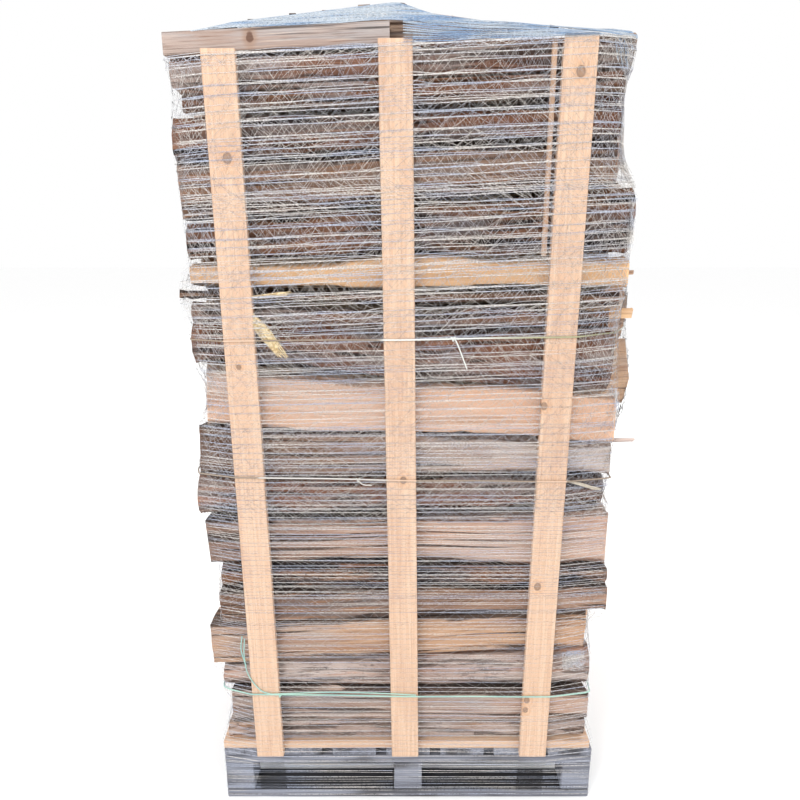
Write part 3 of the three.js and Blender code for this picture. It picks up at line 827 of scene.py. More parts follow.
top_low, top_high = (corner * 1000 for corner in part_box("top_piece_left"))
rise = 47 / (2 * HALF)
under = top_low.z + rise * (0 - top_low.x) + 1
over = top_high.z - rise * (top_high.x - 0) - 1
slopes = [((-rise, 0.0, 1.0), over), ((rise, 0.0, -1.0), -under)]
side_planes = [plane for plane in box_planes(top_low, top_high) if plane[0][2] == 0]
pith = ((-700.0, top_high.y - 10, under - 60), (200.0, top_high.y - 10, under - 18))
top_piece = split_log(*pith, (150.0, 150.0), side_planes + slopes, 40, 0.004, 60, 0.0085)
roughen(top_piece, pith, (150.0, 150.0), 151, (0.6, 0.5, 0.5, 0.9, 0.9), 0.4)
top_piece.name = "top_piece_left_wood"
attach(top_piece, "root")
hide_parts("top_piece_left")

# %% Round across the top
crown_low, crown_high = (corner * 1000 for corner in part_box("crown_log"))
crown_radius = (crown_high.x - crown_low.x) / 2
crown_middle = (crown_low + crown_high) / 2
half_length = (crown_high.y - crown_low.y) / 2
pith = ((-half_length, 0.0, 0.0), (half_length, 0.0, 0.0))
crown = split_log(*pith, (crown_radius, crown_radius), [], 40, 0.007, 70, 0.009)
roughen(crown, pith, (crown_radius, crown_radius), 152, (0.6, 0.35, 0.35, 0.3, 0.3))
bpy.ops.transform.rotate(value=math.pi / 2, orient_axis="Z", center_override=(0, 0, 0))
bpy.ops.transform.translate(value=crown_middle * MM)
bpy.ops.object.transform_apply(location=True, rotation=True, scale=True)
crown.name = "crown_log_wood"
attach(crown, "root")
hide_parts("crown_log")
print("top pieces:", len(top_piece.data.polygons) + len(crown.data.polygons), "faces")

# %% [markdown]
# Thin slivers, the waste of splitting, are heaped along the front of the top on both sides of the
# round, and the net presses them down. Crumbs of bark lie along the ridge of the heap. Three sticks
# are caught between logs at the right, and a chip of bark closes a gap between two logs there.

# %% Slivers, crumbs and sticks
SLIVERS = [
    # left and right end, Y, height at both ends, radius, all in millimetres
    (-490, -60, -432, 1914, 1926, 17), (-425, 110, -427, 1948, 1954, 15),
    (-290, 60, -424, 1977, 1978, 12), (-60, 476, -456, 1922, 1934, 18),
    (30, 405, -428, 1950, 1940, 14), (5, 250, -430, 1976, 1956, 11),
    (-445, -72, -387, 1925, 1933, 20), (-340, -68, -378, 1961, 1966, 16),
    (24, 470, -388, 1934, 1940, 20), (22, 330, -376, 1968, 1955, 14),
    (-410, -84, -330, 1928, 1935, 20), (34, 445, -326, 1936, 1942, 20),
]
# Left end, length and radius of the crumbs of bark, which are made shorter and thicker by two shares
CRUMB_LENGTH_SHARE = 0.6
CRUMB_RADIUS_SHARE = 1.5
CRUMBS = [(-402, 42, 9), (-352, 20, 5), (-262, 24, 6), (-190, 22, 5), (-112, 44, 8), (-62, 22, 6),
          (88, 34, 8), (150, 22, 5), (196, 46, 8), (248, 22, 6), (304, 30, 7), (372, 26, 5), (428, 24, 5)]
# The outline that the heap draws against the sky: X, and height where Y is RIDGE_Y
RIDGE_Y = -404.0
RIDGE = ((-545, -501, -448, -396, -369, -317, -264, -212, -160, -108, -65, -31, -5, 21, 47, 99, 152,
          230, 282, 361, 413, 483),
         (1938, 1943, 1951, 1961, 1970, 1975, 1980, 1986, 1990, 1997, 2002, 2003, 1996, 1988, 1980,
          1973, 1967, 1963, 1958, 1953, 1950, 1951))


def ridge_limit(x, y):
    """The height in millimetres at which a place stands on the outline, as the camera sees it."""
    eye = camera.location * 1000
    share = (y - eye.y) / (RIDGE_Y - eye.y)
    return eye.z + (float(np.interp(eye.x + (x - eye.x) / share, *RIDGE)) - eye.z) * share


def sliver(left, right, radius, seed, look):
    """A thin wedge: a small round that two planes have split."""
    planes = []
    for turn in (seed * 1.7, seed * 1.7 + 2.2):
        normal = (0.0, math.cos(turn), math.sin(turn))
        middle = normal[1] * left[1] + normal[2] * (left[2] + right[2]) / 2
        planes.append((normal, middle + radius * 0.45))
    piece = split_log(left, right, (radius, radius * 0.85), planes, 14, 0.002, 44, 0.007)
    roughen(piece, (left, right), (radius, radius), seed, look, 0.22)
    return piece


slivers = []
for index, (left, right, y, z_left, z_right, radius) in enumerate(SLIVERS):
    skew = 6 * math.sin(index * 2.4)
    tone = 0.25 + 0.5 * (index * 7 % 10) / 10
    look = (0.3 + 0.05 * index, tone, tone, 0.4, 0.4)
    z_left = min(z_left, ridge_limit(left, y - skew) - radius - 3)
    z_right = min(z_right, ridge_limit(right, y + skew) - radius - 3)
    slivers.append(sliver((left, y - skew, z_left), (right, y + skew, z_right), radius,
                          300 + index, look))
crumbs = []
for index, (left, length, radius) in enumerate(CRUMBS):
    y = RIDGE_Y + index % 3 * 4
    right = left + length * CRUMB_LENGTH_SHARE
    ends = [ridge_limit(x, y) - radius for x in (left, right)]
    crumbs.append(sliver((left, y, ends[0]), (right, y, ends[1]), radius * CRUMB_RADIUS_SHARE,
                         340 + index, (0.2, 0.1, 0.1, 0.3, 0.3)))
sticks = [sliver((380, -470, 1046), (546, -474, 1037), 11, 330, (0.9, 0.9, 0.9, 0.9, 0.9)),
          sliver((300, -452, 1340), (520, -452, 1338), 16, 331, (0.0, 1.0, 1.0, 0.0, 0.0)),
          sliver((300, -456, 1432), (512, -458, 1440), 9, 332, (0.4, 0.5, 0.5, 0.2, 0.2)),
          sliver((385, -446, 854), (474, -448, 856), 15, 333, (0.3, 0.1, 0.1, 0.3, 0.3))]
heap = join_pieces(slivers, "top_slivers_wood")
crumbs = join_pieces(crumbs, "top_crumbs")
sticks = join_pieces(sticks, "sticks_right")
for piece in (heap, crumbs, sticks):
    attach(piece, "root")
print("slivers on the top:", len(slivers))

# %% [markdown]
# Sawn boards are straighter than split logs, but never sharp: their edges are worn, their faces
# are a little uneven and their grain runs along them. Each board keeps its own grain direction in
# the mesh, so that one material serves uprights, cross boards and the deck.

# %% Sawn timber material
# Knots in the front battens: X, height and size in metres
KNOTS = [(0.350, 1.846, 0.010), (0.313, 1.132, 0.008), (0.322, 0.663, 0.009), (0.309, 0.300, 0.007),
         (0.311, 0.330, 0.008), (-0.014, 0.948, 0.008), (-0.388, 1.677, 0.010), (-0.391, 1.225, 0.006)]


def knot_masks(paint):
    """Knots in the front battens: their dark rings, their cores and the grain bent round them."""
    near = None
    for x, z, size in KNOTS:
        distance = from_knot(paint, x, z, size)
        near = distance if near is None else near.math("MINIMUM", distance)
    return near.ramp(1.1, 0.85), near.ramp(0.8, 0.5), near.ramp(3.2, 0.9)


def timber_material(name, pale, deep, stain, grey, with_knots):
    paint = Paint(name, 0.75)
    grain = paint.attribute("grain", 1)
    shade = paint.attribute("shade")
    soil = paint.attribute("soil")
    knots, cores, halo = knot_masks(paint) if with_knots else (None, None, None)
    lines = paint.noise(paint.stretch(grain, (7.0, 330.0, 330.0)), 1.0, 4.0, 0.6)
    bands = paint.noise(paint.stretch(grain, (1.6, 60.0, 60.0)), 1.0, 2.0, 0.5)
    if halo is not None:
        bands = bands + halo * 0.35
    rings = (bands * 26.0).math("SINE") * 0.5 + 0.5
    blotches = paint.noise(paint.stretch(grain, (3.0, 12.0, 12.0)), 1.0, 3.0)
    colour = paint.blend(rings * 0.55 + shade * 0.25, pale, deep)
    colour = paint.blend(lines.ramp(0.50, 0.68) * 0.55, colour, stain)
    colour = paint.blend(blotches.ramp(0.5, 0.66) * grey, colour, stain)
    height = rings * 0.5 + lines * 0.9
    if knots is not None:
        colour = paint.blend(halo * 0.3, colour, tint(196, 140, 92))
        colour = paint.blend(knots * 0.75, colour, tint(112, 88, 72))
        colour = paint.blend(cores * 0.6, colour, tint(160, 128, 104))
    # Painted shade: the upper faces of boards deep under the pallet turn near black, as the shade there
    # would make them.
    colour = paint.blend(soil * 0.92, colour, tint(34, 32, 34))
    return paint.finish(colour, height, 0.0009)


fresh_pine = timber_material("fresh_pine", tint(212, 182, 156), tint(197, 160, 132),
                             tint(180, 142, 118), 0.3, True)
weathered_pine = timber_material("weathered_pine", tint(146, 150, 162), tint(96, 97, 106),
                                 tint(50, 48, 50), 0.9, False)
print("timber materials are ready")

# %% Making one board
def sawn_board(low, high, along, seed, bevel=0.0015, worn=0.0008, shade=None, top_shade_amount=0.0):
    """A board between two corners in metres, with its grain along one axis.

    The last argument gives how strongly painted shade darkens its upper side.
    """
    low, high = Vector(low), Vector(high)
    size = high - low
    bpy.ops.object.select_all(action="DESELECT")
    bpy.ops.mesh.primitive_cube_add(size=1.0, location=(low + high) / 2, scale=size)
    bpy.ops.object.transform_apply(location=True, rotation=True, scale=True)
    board = bpy.context.object
    bpy.ops.object.mode_set(mode="EDIT")
    bpy.context.tool_settings.mesh_select_mode = (False, True, False)
    bpy.ops.mesh.select_all(action="SELECT")
    bpy.ops.mesh.bevel(offset=bevel, segments=1, affect="EDGES")
    for axis in range(3):
        step = 0.03 if axis == along else 0.02
        cuts = min(int(size[axis] / step), 70)

        def runs_that_way(edge):
            run = edge.verts[1].co - edge.verts[0].co
            return abs(run[axis]) > 0.9 * run.length and run.length > step

        if cuts and pick_edges(board.data, runs_that_way):
            bpy.ops.mesh.subdivide(number_cuts=cuts)
    bpy.ops.object.mode_set(mode="OBJECT")
    mesh = board.data
    co = coordinates(mesh)
    order = [along, (along + 1) % 3, (along + 2) % 3]
    shift = np.array([seed * 2.3, seed * 0.31, seed * 0.17])
    write_values(mesh, "grain", "POINT", co[:, order] + shift, "FLOAT_VECTOR")
    tone = random_lattice(np.array([seed]), 0, 0, 5)[0] * 0.5 + 0.5 if shade is None else shade
    write_values(mesh, "shade", "FACE", np.full(len(mesh.polygons), tone))
    _, normals = face_values(mesh)
    # Painted shade on the upper faces, as strong as the last argument says.
    write_values(mesh, "soil", "FACE", top_shade_amount * (normals[:, 2] > 0.9))
    scale = np.full(3, 45.0)
    scale[along] = 7.0
    inward = (noise_at(co + seed, scale, seed) * 0.5 + 0.5) * worn
    write_coordinates(mesh, co - directions(mesh) * inward[:, None])
    bpy.ops.object.shade_smooth_by_angle(angle=math.radians(40))
    return board


def finish_piece(piece, name, slot, material, *nodes):
    piece.name = name
    piece.data.materials.clear()
    piece.data.materials.append(material)
    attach(piece, "root")
    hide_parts(*nodes)
    return piece


# %% [markdown]
# The pallet is old and grey. Its seven deck boards run from front to back over three stringers,
# and nine blocks stand between the stringers and the three boards on the floor.

# %% Pallet
DECK_BOARDS = 7
DECK_BOARD_WIDTH = 0.120
DECK_THICKNESS = 0.024
STRINGER_THICKNESS = 0.025
BLOCK_SIDE = 0.078
ROWS = {"front": -1, "middle": 0, "back": 1}

deck_low, deck_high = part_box("pallet_deck")
board_pitch = (deck_high.x - deck_low.x - DECK_BOARD_WIDTH) / (DECK_BOARDS - 1)
row_reach = deck_high.y - BLOCK_SIDE / 2
deck = []
for index in range(DECK_BOARDS):
    left = deck_low.x + board_pitch * index
    low = (left, deck_low.y, deck_high.z - DECK_THICKNESS + 0.0004)
    high = (left + DECK_BOARD_WIDTH, deck_high.y, deck_high.z)
    deck.append(sawn_board(low, high, 1, 200 + index, 0.002, 0.0015))
for index, side in enumerate(ROWS.values()):
    low = (deck_low.x, side * row_reach - BLOCK_SIDE / 2, deck_low.z)
    high = (deck_high.x, side * row_reach + BLOCK_SIDE / 2, deck_low.z + STRINGER_THICKNESS - 0.0008)
    deck.append(sawn_board(low, high, 0, 210 + index, 0.002, 0.0015))
finish_piece(join_pieces(deck, "deck"), "pallet_deck_boards", "weathered_pine", weathered_pine,
             "pallet_deck")

block_nodes = [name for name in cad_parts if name.startswith("pallet_block")]
blocks = [sawn_board(*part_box(name), 0, 220 + index, 0.003, 0.002, shade=0.6)
          for index, name in enumerate(sorted(block_nodes))]
finish_piece(join_pieces(blocks, "blocks"), "pallet_blocks", "weathered_pine", weathered_pine,
             *block_nodes)

base_nodes = [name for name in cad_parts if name.startswith("pallet_base_board")]
# The base boards get full painted shade on their upper sides, for the dark opening under the deck.
bases = [sawn_board(*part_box(name), 0, 230 + index, 0.002, 0.0015, top_shade_amount=1.0)
         for index, name in enumerate(sorted(base_nodes))]
finish_piece(join_pieces(bases, "bases"), "pallet_base_boards", "weathered_pine", weathered_pine,
             *base_nodes)
print("pallet boards:", len(deck) + len(blocks) + len(bases))

# %% [markdown]
# Two pale boards lie on the deck along its edges, and the battens stand in front of and behind
# the logs. A batten leans a little: its foot and head are given by the solid, so the board is made
# upright and its points are slid sideways in step with their height.

# %% Bearers and battens
for index, side in enumerate(("front", "back")):
    node = f"bearer_{side}"
    board = sawn_board(*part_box(node), 0, 240 + index, shade=0.15)
    finish_piece(board, node + "_board", "fresh_pine", fresh_pine, node)

BATTEN_WIDTH = 0.072
LEANS = {"left": -0.024, "centre": -0.024, "right": 0.013}


def batten(node, lean, seed):
    low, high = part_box(node)
    start = low.x - min(lean, 0.0)
    board = sawn_board((start, low.y, low.z), (start + BATTEN_WIDTH, high.y, high.z), 2, seed,
                       shade=random_lattice(np.array([seed]), 1, 0, 5)[0] * 0.3 + 0.3)
    co = coordinates(board.data)
    co[:, 0] += lean * (co[:, 2] - low.z) / (high.z - low.z)
    write_coordinates(board.data, co)
    return finish_piece(board, node + "_board", "fresh_pine", fresh_pine, node)


for row_index, row in enumerate(("front", "back")):
    for index, (name, lean) in enumerate(LEANS.items()):
        batten(f"batten_{row}_{name}", lean, 250 + row_index * 3 + index)
narrow = sawn_board(*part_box("batten_front_narrow"), 2, 260, 0.001, 0.0004, 0.5)
finish_piece(narrow, "batten_front_narrow_board", "fresh_pine", fresh_pine, "batten_front_narrow")
print("battens and bearers are in place")

# %% [markdown]
# The net is what makes this stack look like firewood from a dealer. It is knitted: chains of
# stitches run round the stack, and thin threads zigzag between them. Pulled tight, a net touches
# only what stands out, so each turn follows the convex hull of the stack at its own height.

# %% Shape of the stack as the net feels it
NET_ANGLES = np.radians(np.arange(360))
NET_STAND_OFF = 0.0012
dressed = [piece for piece in bpy.data.objects
           if piece.type == "MESH" and piece.name.endswith(("_wood", "_board", "_boards", "_blocks"))]
stack_points = np.concatenate([coordinates(piece.data) for piece in dressed])
print("points of the stack:", len(stack_points))


def hull_of(points):
    """The corners of the convex hull of flat points, anticlockwise."""
    order = np.lexsort((points[:, 1], points[:, 0]))
    ordered = points[order]

    def chain(sequence):
        kept = []
        for x, y in sequence:
            while len(kept) > 1:
                (ax, ay), (bx, by) = kept[-2], kept[-1]
                if (bx - ax) * (y - ay) - (by - ay) * (x - ax) > 0:
                    break
                kept.pop()
            kept.append((x, y))
        return kept[:-1]

    return np.array(chain(ordered.tolist()) + chain(ordered[::-1].tolist()))


def extreme_points(points):
    """Thins points to those furthest out in many directions, which keeps the hull."""
    turns = np.radians(np.arange(0, 360, 1.5))
    reach = points @ np.stack([np.cos(turns), np.sin(turns)])
    return points[np.unique(reach.argmax(axis=0))]


def hull_reach(height, slope, window=0.014):
    """How far the hull reaches at each angle, in a slice that tilts along X."""
    level = stack_points[:, 2] - slope * stack_points[:, 0]
    inside = np.abs(level - height) < window
    hull = hull_of(extreme_points(stack_points[inside][:, :2]))
    sides = np.roll(hull, -1, axis=0) - hull
    normals = np.column_stack([sides[:, 1], -sides[:, 0]])
    normals /= np.linalg.norm(normals, axis=1)[:, None]
    offsets = (normals * hull).sum(axis=1) + NET_STAND_OFF
    facing = normals @ np.stack([np.cos(NET_ANGLES), np.sin(NET_ANGLES)])
    reach = np.where(facing > 1e-3, offsets[:, None] / np.maximum(facing, 1e-3), np.inf)
    return reach.min(axis=0)


# %% Turns of the net
NET_LOWEST = 0.012
NET_HIGHEST = 1.897
TURN_SPACING = 0.0165
TIGHTER_BELOW = 0.74


def turn_heights(spacing, seed):
    """The heights of the turns: they lie closer together in the lower half."""
    heights = [NET_LOWEST]
    index = 0
    while heights[-1] < NET_HIGHEST:
        index += 1
        change = 1 + 0.45 * random_lattice(np.array([index]), 0, 0, seed)[0]
        upper_half = min(max((heights[-1] - 0.8) / 0.4, 0.0), 1.0)
        change *= TIGHTER_BELOW + (1 - TIGHTER_BELOW) * upper_half
        heights.append(heights[-1] + spacing * change)
    heights[-1] = NET_HIGHEST
    return np.array(heights)


def turn_slope(height):
    share = min(max((height - 0.9) / 0.5, 0.0), 1.0)
    return 0.046 * share * share * (3 - 2 * share)


def net_turns(heights, seed, lift):
    """One closed loop of points for each turn, smoothed a little from turn to turn."""
    reach = np.array([hull_reach(height, turn_slope(height)) for height in heights])
    padded = np.pad(reach, ((1, 1), (0, 0)), mode="edge")
    reach = np.maximum(np.maximum(padded[:-2], padded[2:]), reach)
    padded = np.pad(reach, ((1, 1), (0, 0)), mode="edge")
    reach = np.maximum((padded[:-2] + 2 * reach + padded[2:]) / 4, reach - 0.004) + lift
    loops = []
    for index, height in enumerate(heights):
        x = reach[index] * np.cos(NET_ANGLES)
        y = reach[index] * np.sin(NET_ANGLES)
        place = np.column_stack([np.cos(NET_ANGLES), np.sin(NET_ANGLES), np.full(360, index * 0.7)])
        wander = noise_at(place, (2.2, 2.2, 1.0), seed) * 0.0035
        loops.append(np.column_stack([x, y, height + turn_slope(height) * x + wander]))
    return loops


outer_heights = turn_heights(TURN_SPACING, 11)
outer_turns = net_turns(outer_heights, 12, 0.0)
inner_turns = net_turns(turn_heights(TURN_SPACING * 1.7, 21), 22, 0.0008)
print("turns of the net:", len(outer_turns), "and", len(inner_turns))

# %% Threads as thin tubes
def bend_points(path, closed, least=0.0004, every=14):
    """Keeps the points of a path where it bends, and one in every few of the others."""
    before = np.roll(path, 1, axis=0)
    after = np.roll(path, -1, axis=0)
    bend = np.linalg.norm(before + after - 2 * path, axis=1)
    keep = bend > least
    keep[::every] = True
    if not closed:
        keep[0] = keep[-1] = True
    return path[keep]


def thread_tube(path, radius, closed, sides=3):
    """The points and faces of a tube along a path."""
    if closed:
        run = np.roll(path, -1, axis=0) - np.roll(path, 1, axis=0)
    else:
        run = np.gradient(path, axis=0)
    run /= np.maximum(np.linalg.norm(run, axis=1), 1e-9)[:, None]
    away = path - path.mean(axis=0)
    away -= run * (away * run).sum(axis=1)[:, None]
    away /= np.maximum(np.linalg.norm(away, axis=1), 1e-9)[:, None]
    side = np.cross(run, away)
    count = len(path)
    points = np.concatenate([path + radius * (math.cos(turn) * away + math.sin(turn) * side)
                             for turn in (2 * math.pi * k / sides for k in range(sides))])
    first = np.arange(count if closed else count - 1)
    second = (first + 1) % count
    faces = [np.column_stack([first + k * count, second + k * count,
                              second + (k + 1) % sides * count, first + (k + 1) % sides * count])
             for k in range(sides)]
    return points, np.concatenate(faces)


def thread_mesh(name, tubes):
    """One mesh from many tubes."""
    offsets = np.cumsum([0] + [len(points) for points, _ in tubes[:-1]])
    points = np.concatenate([points for points, _ in tubes])
    faces = np.concatenate([faces + offset for (_, faces), offset in zip(tubes, offsets)])
    mesh = bpy.data.meshes.new(name)
    mesh.vertices.add(len(points))
    mesh.vertices.foreach_set("co", points.ravel())
    mesh.loops.add(faces.size)
    mesh.loops.foreach_set("vertex_index", faces.ravel())
    mesh.polygons.add(len(faces))
    mesh.polygons.foreach_set("loop_start", np.arange(0, faces.size, 4))
    mesh.update(calc_edges=True)
    piece = bpy.data.objects.new(name, mesh)
    bpy.context.scene.collection.objects.link(piece)
    return piece


def smooth_path(places, step=0.0022):
    """A smooth curve through places, with a point every step."""
    places = np.array(places, dtype=float)
    padded = np.vstack([2 * places[0] - places[1], places, 2 * places[-1] - places[-2]])
    path = []
    for a, b, c, d in zip(padded, padded[1:], padded[2:], padded[3:]):
        count = max(2, int(np.linalg.norm(c - b) / step))
        for t in np.linspace(0, 1, count, endpoint=False)[:, None]:
            path.append(0.5 * (2 * b + (c - a) * t + (2 * a - 5 * b + 4 * c - d) * t ** 2
                               + (3 * b - 3 * c + d - a) * t ** 3))
    return np.vstack(path + [places[-1:]])


def points_along(loop, shares):
    """Points of a closed loop at shares of its length."""
    closed = np.vstack([loop, loop[:1]])
    lengths = np.concatenate([[0], np.cumsum(np.linalg.norm(np.diff(closed, axis=0), axis=1))])
    lengths /= lengths[-1]
    return np.column_stack([np.interp(shares % 1, lengths, closed[:, k]) for k in range(3)])


def zigzag(lower, upper, pairs, phase, seed):
    """A thread that swings between two turns, never quite regularly."""
    uneven = 0.3 * random_lattice(np.arange(pairs), seed, 0, 51)
    low = points_along(lower, (np.arange(pairs) + phase + uneven) / pairs)
    high = points_along(upper, (np.arange(pairs) + phase + 0.5 - uneven) / pairs)
    slack = 0.22 * random_lattice(np.arange(pairs), seed, 1, 52)[:, None]
    path = np.empty((pairs * 2, 3))
    path[0::2], path[1::2] = low + (high - low) * slack, high
    return path


# %% Net material and pieces
def over_battens(across, level):
    """1 in front of a batten, 0 beside it."""
    near = None
    head = 0.0
    for name, lean in LEANS.items():
        low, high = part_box(f"batten_front_{name}")
        head = max(head, high.z)
        foot = low.x - min(lean, 0.0) + BATTEN_WIDTH / 2
        middle = (level - low.z) * (lean / (high.z - low.z)) + foot
        distance = (across - middle).math("ABSOLUTE")
        near = distance if near is None else near.math("MINIMUM", distance)
    inside = near.ramp(BATTEN_WIDTH / 2 + 0.002, BATTEN_WIDTH / 2 - 0.002)
    return inside * level.ramp(head + 0.004, head - 0.004)


def net_material(name, pale, deep, cover, streaks, fuzzy=0.55):
    """Half-clear, fuzzy thread. It shows less beside the stack, low down and over pale battens."""
    paint = Paint(name, 0.5)
    place = paint.place()
    across = paint.node("ShaderNodeSeparateXYZ", None, {0: place})
    depth = Wire(paint, across.socket.node.outputs[1])
    level = Wire(paint, across.socket.node.outputs[2])
    over_side = across.math("ABSOLUTE").ramp(0.475, 0.50) * depth.ramp(-0.515, -0.48)
    fuzz = paint.noise(paint.stretch(place, (260.0, 260.0, 420.0)), 1.0, 1.0).ramp(0.34, 0.58)
    shown = (fuzz * fuzzy + (1 - fuzzy)) * (level.ramp(1.10, 1.32) * 0.38 + 0.62) * cover
    shown = shown * (1.0 - over_side * (0.95 - depth.ramp(-0.30, -0.18) * 0.35))
    shown = shown * (1.0 - over_battens(across, level) * 0.68)
    paint.feed(paint.surface.inputs["Alpha"], shown)
    patches = paint.noise(paint.stretch(place, streaks), 1.0, 3.0)
    return paint.finish(paint.blend(patches.ramp(0.42, 0.62), pale, deep))


net_white = net_material("net_thread", tint(244, 240, 236), tint(206, 214, 232), 0.78,
                         (4.0, 4.0, 34.0))
net_web = net_material("net_web", tint(240, 234, 228), tint(214, 214, 222), 0.82, (6.0, 6.0, 20.0))
# Painted shade: a darker, bluer copy of the same thread, for the tent over the top, which stands in shade.
net_shaded_copy = net_material("net_thread_shaded", tint(194, 205, 216), tint(134, 162, 196), 0.90,
                        (5.0, 60.0, 50.0), 0.25)
CHAIN_RADIUS = 0.0012
STRANDS_APART = 0.0052
THREAD_RADIUS = 0.00058
PAIRS_PER_TURN = 118
# In the four quarters of the net, from the lowest up: layers of thread and the thread's radius
QUARTERS = ((1, 0.00038), (1, 0.00044), (3, THREAD_RADIUS), (3, THREAD_RADIUS))


def net_piece(name, tubes, material=net_white):
    piece = thread_mesh(name, tubes)
    return finish_piece(piece, name, "net_thread", material, "net")


def turn_tubes(turns, radius):
    """Chains of stitches as two strands that part and meet, finer in the tighter lower half."""
    tubes = []
    for index, loop in enumerate(turns):
        share = min(max((loop[:, 2].mean() - 0.5) / 0.9, 0.0), 1.0)
        size = radius * (0.65 + 0.35 * share)
        tubes.append(thread_tube(bend_points(loop, True), size, True))
        place = np.column_stack([np.cos(NET_ANGLES), np.sin(NET_ANGLES), np.full(360, index * 0.7)])
        apart = (0.5 + noise_at(place, (9.0, 9.0, 1.0), 77)) * STRANDS_APART * share
        strand = loop + np.column_stack([np.zeros((360, 2)), apart])
        if share > 0.1:
            tubes.append(thread_tube(bend_points(strand, True, 0.0002, 6), size * 0.6, True))
    return tubes


def zigzag_tubes(turns, pairs, layers, radius):
    tubes = []
    for index in range(len(turns) - 1):
        for layer in range(layers):
            phase = random_lattice(np.array([index]), pairs, layer, 31)[0]
            upper = turns[min(index + 1 + layer, len(turns) - 1)]
            path = zigzag(turns[index], upper, pairs - 19 * layer, phase, index * 2 + layer)
            tubes.append(thread_tube(path, radius, True))
    return tubes


quarter = len(outer_turns) // 4
net_piece("net_chains", turn_tubes(outer_turns, CHAIN_RADIUS))
net_piece("net_chains_under", turn_tubes(inner_turns, CHAIN_RADIUS * 0.7))
for index, (layers, radius) in enumerate(QUARTERS):
    last = (index + 1) * quarter + 1 if index < 3 else len(outer_turns)
    turns = [loop for loop in outer_turns[index * quarter:last] if loop[:, 2].mean() > DECK_TOP * MM]
    net_piece(f"net_zigzag_{index + 1}", zigzag_tubes(turns, PAIRS_PER_TURN, layers, radius), net_web)
upper_turns = [loop for loop in inner_turns if loop[:, 2].mean() > 0.6]
net_piece("net_zigzag_under", zigzag_tubes(upper_turns, PAIRS_PER_TURN, 1, THREAD_RADIUS * 0.8),
          net_web)

# %% [markdown]
# Over the top the net is a tent. Its highest parts are the round laid across and the edges of the
# stack, so a convex hull of all that lies under it gives its shape, and rays sent down onto that
# hull give the height of each thread. The threads are held down to the outline that the heap draws
# in the photograph. In front, right of the short split piece, more rows fill the way from the last
# turn up to that outline, and rays sent back onto the hull give their depth.

# %% Tent of the net
from mathutils.bvhtree import BVHTree

TENT_FOOT = 1.80
TENT_ROW = 0.0155
TENT_FRONT = -0.496
APRON_LEFT = -0.016
APRON_Y = -0.500
APRON_ROWS = 13
HIP_ROW = 0.0036
HIP_DEPTH = -0.385
TENT_SIDE = 0.545
TENT_LEFT = -0.505
TENT_RIGHT = 0.480
TENT_STEP = 0.012
TENT_PAIRS = 60
WHITE_PAIRS = 30


def tent_surface():
    work = bmesh.new()
    high = stack_points[stack_points[:, 2] > TENT_FOOT]
    for point in high[np.abs(high[:, 0]) < TENT_SIDE]:
        work.verts.new(point)
    bmesh.ops.convex_hull(work, input=work.verts)
    surface = BVHTree.FromBMesh(work)
    work.free()
    return surface


tent = tent_surface()


def tent_height(x, y):
    """The height of the net over a place: on the hull, or lower where the heap's outline is."""
    hit = tent.ray_cast(Vector((x, y, 3.0)), Vector((0, 0, -1)))
    if hit[0] is None or hit[0].z < TENT_FOOT + 0.01:
        return None
    return min(hit[0].z, ridge_limit(x * 1000, y * 1000) * MM)


def tent_thread(y, seed):
    """A thread from left to right over the tent."""
    path = []
    for x in np.arange(TENT_LEFT, TENT_RIGHT, TENT_STEP):
        wander = 0.0028 * noise_at(np.array([[x, y, 0.0]]), (14, 3, 1), seed)[0]
        height = tent_height(x, y + wander)
        if height is not None:
            path.append((x, y + wander, height + NET_STAND_OFF))
    if len(path) < 8:
        return None
    return np.array(path)


def apron_thread(share, seed):
    """A thread in front of the heap, at a share of the way from the last turn up to the outline."""
    path = []
    for x in np.arange(APRON_LEFT, TENT_RIGHT, TENT_STEP):
        foot = NET_HIGHEST + turn_slope(NET_HIGHEST) * x
        head = ridge_limit(x * 1000, APRON_Y * 1000) * MM - 0.004
        wander = 0.0022 * noise_at(np.array([[x, share, 0.0]]), (14, 3, 1), seed)[0]
        z = foot + (head - foot) * share + wander
        hit = tent.ray_cast(Vector((x, -1.0, z)), Vector((0, 1, 0)))
        if hit[0] is not None:
            path.append((x, hit[0].y - NET_STAND_OFF, z))
    return np.array(path)


def tent_rows():
    rows = []
    y = TENT_FRONT
    while y < 0.517:
        rows.append(y)
        y += HIP_ROW if y < HIP_DEPTH else TENT_ROW
    return rows


tent_paths = [path for index, y in enumerate(tent_rows())
              if (path := tent_thread(y, 40 + index)) is not None]
tent_paths = [apron_thread(share, 20 + index) for index, share
              in enumerate(np.linspace(0.06, 1, APRON_ROWS))] + tent_paths
tent_tubes = [thread_tube(path, CHAIN_RADIUS, False) for path in tent_paths]
cross_tubes = {TENT_PAIRS: [], WHITE_PAIRS: []}


def zigzag_between(one, two, pairs, phase):
    """A thread that swings between two open threads."""
    shares = (np.arange(pairs) + 0.25 + abs(phase) * 0.4) / pairs
    path = np.empty((pairs * 2, 3))
    for offset, line in ((0, one), (1, two)):
        places = (shares + 0.5 * offset / pairs) * (len(line) - 1)
        for axis in range(3):
            path[offset::2, axis] = np.interp(places, np.arange(len(line)), line[:, axis])
    return path


for index in range(len(tent_paths) - 1):
    phase = random_lattice(np.array([index]), 3, 0, 33)[0]
    upper = tent_paths[index + 1]
    for lower, pairs, shift in ((tent_paths[index], TENT_PAIRS, phase),
                                (tent_paths[max(index - 1, 0)], WHITE_PAIRS, -phase)):
        if abs(len(lower) - len(upper)) < 8:
            path = zigzag_between(lower, upper, pairs, shift)
            cross_tubes[pairs].append(thread_tube(path, THREAD_RADIUS, False))
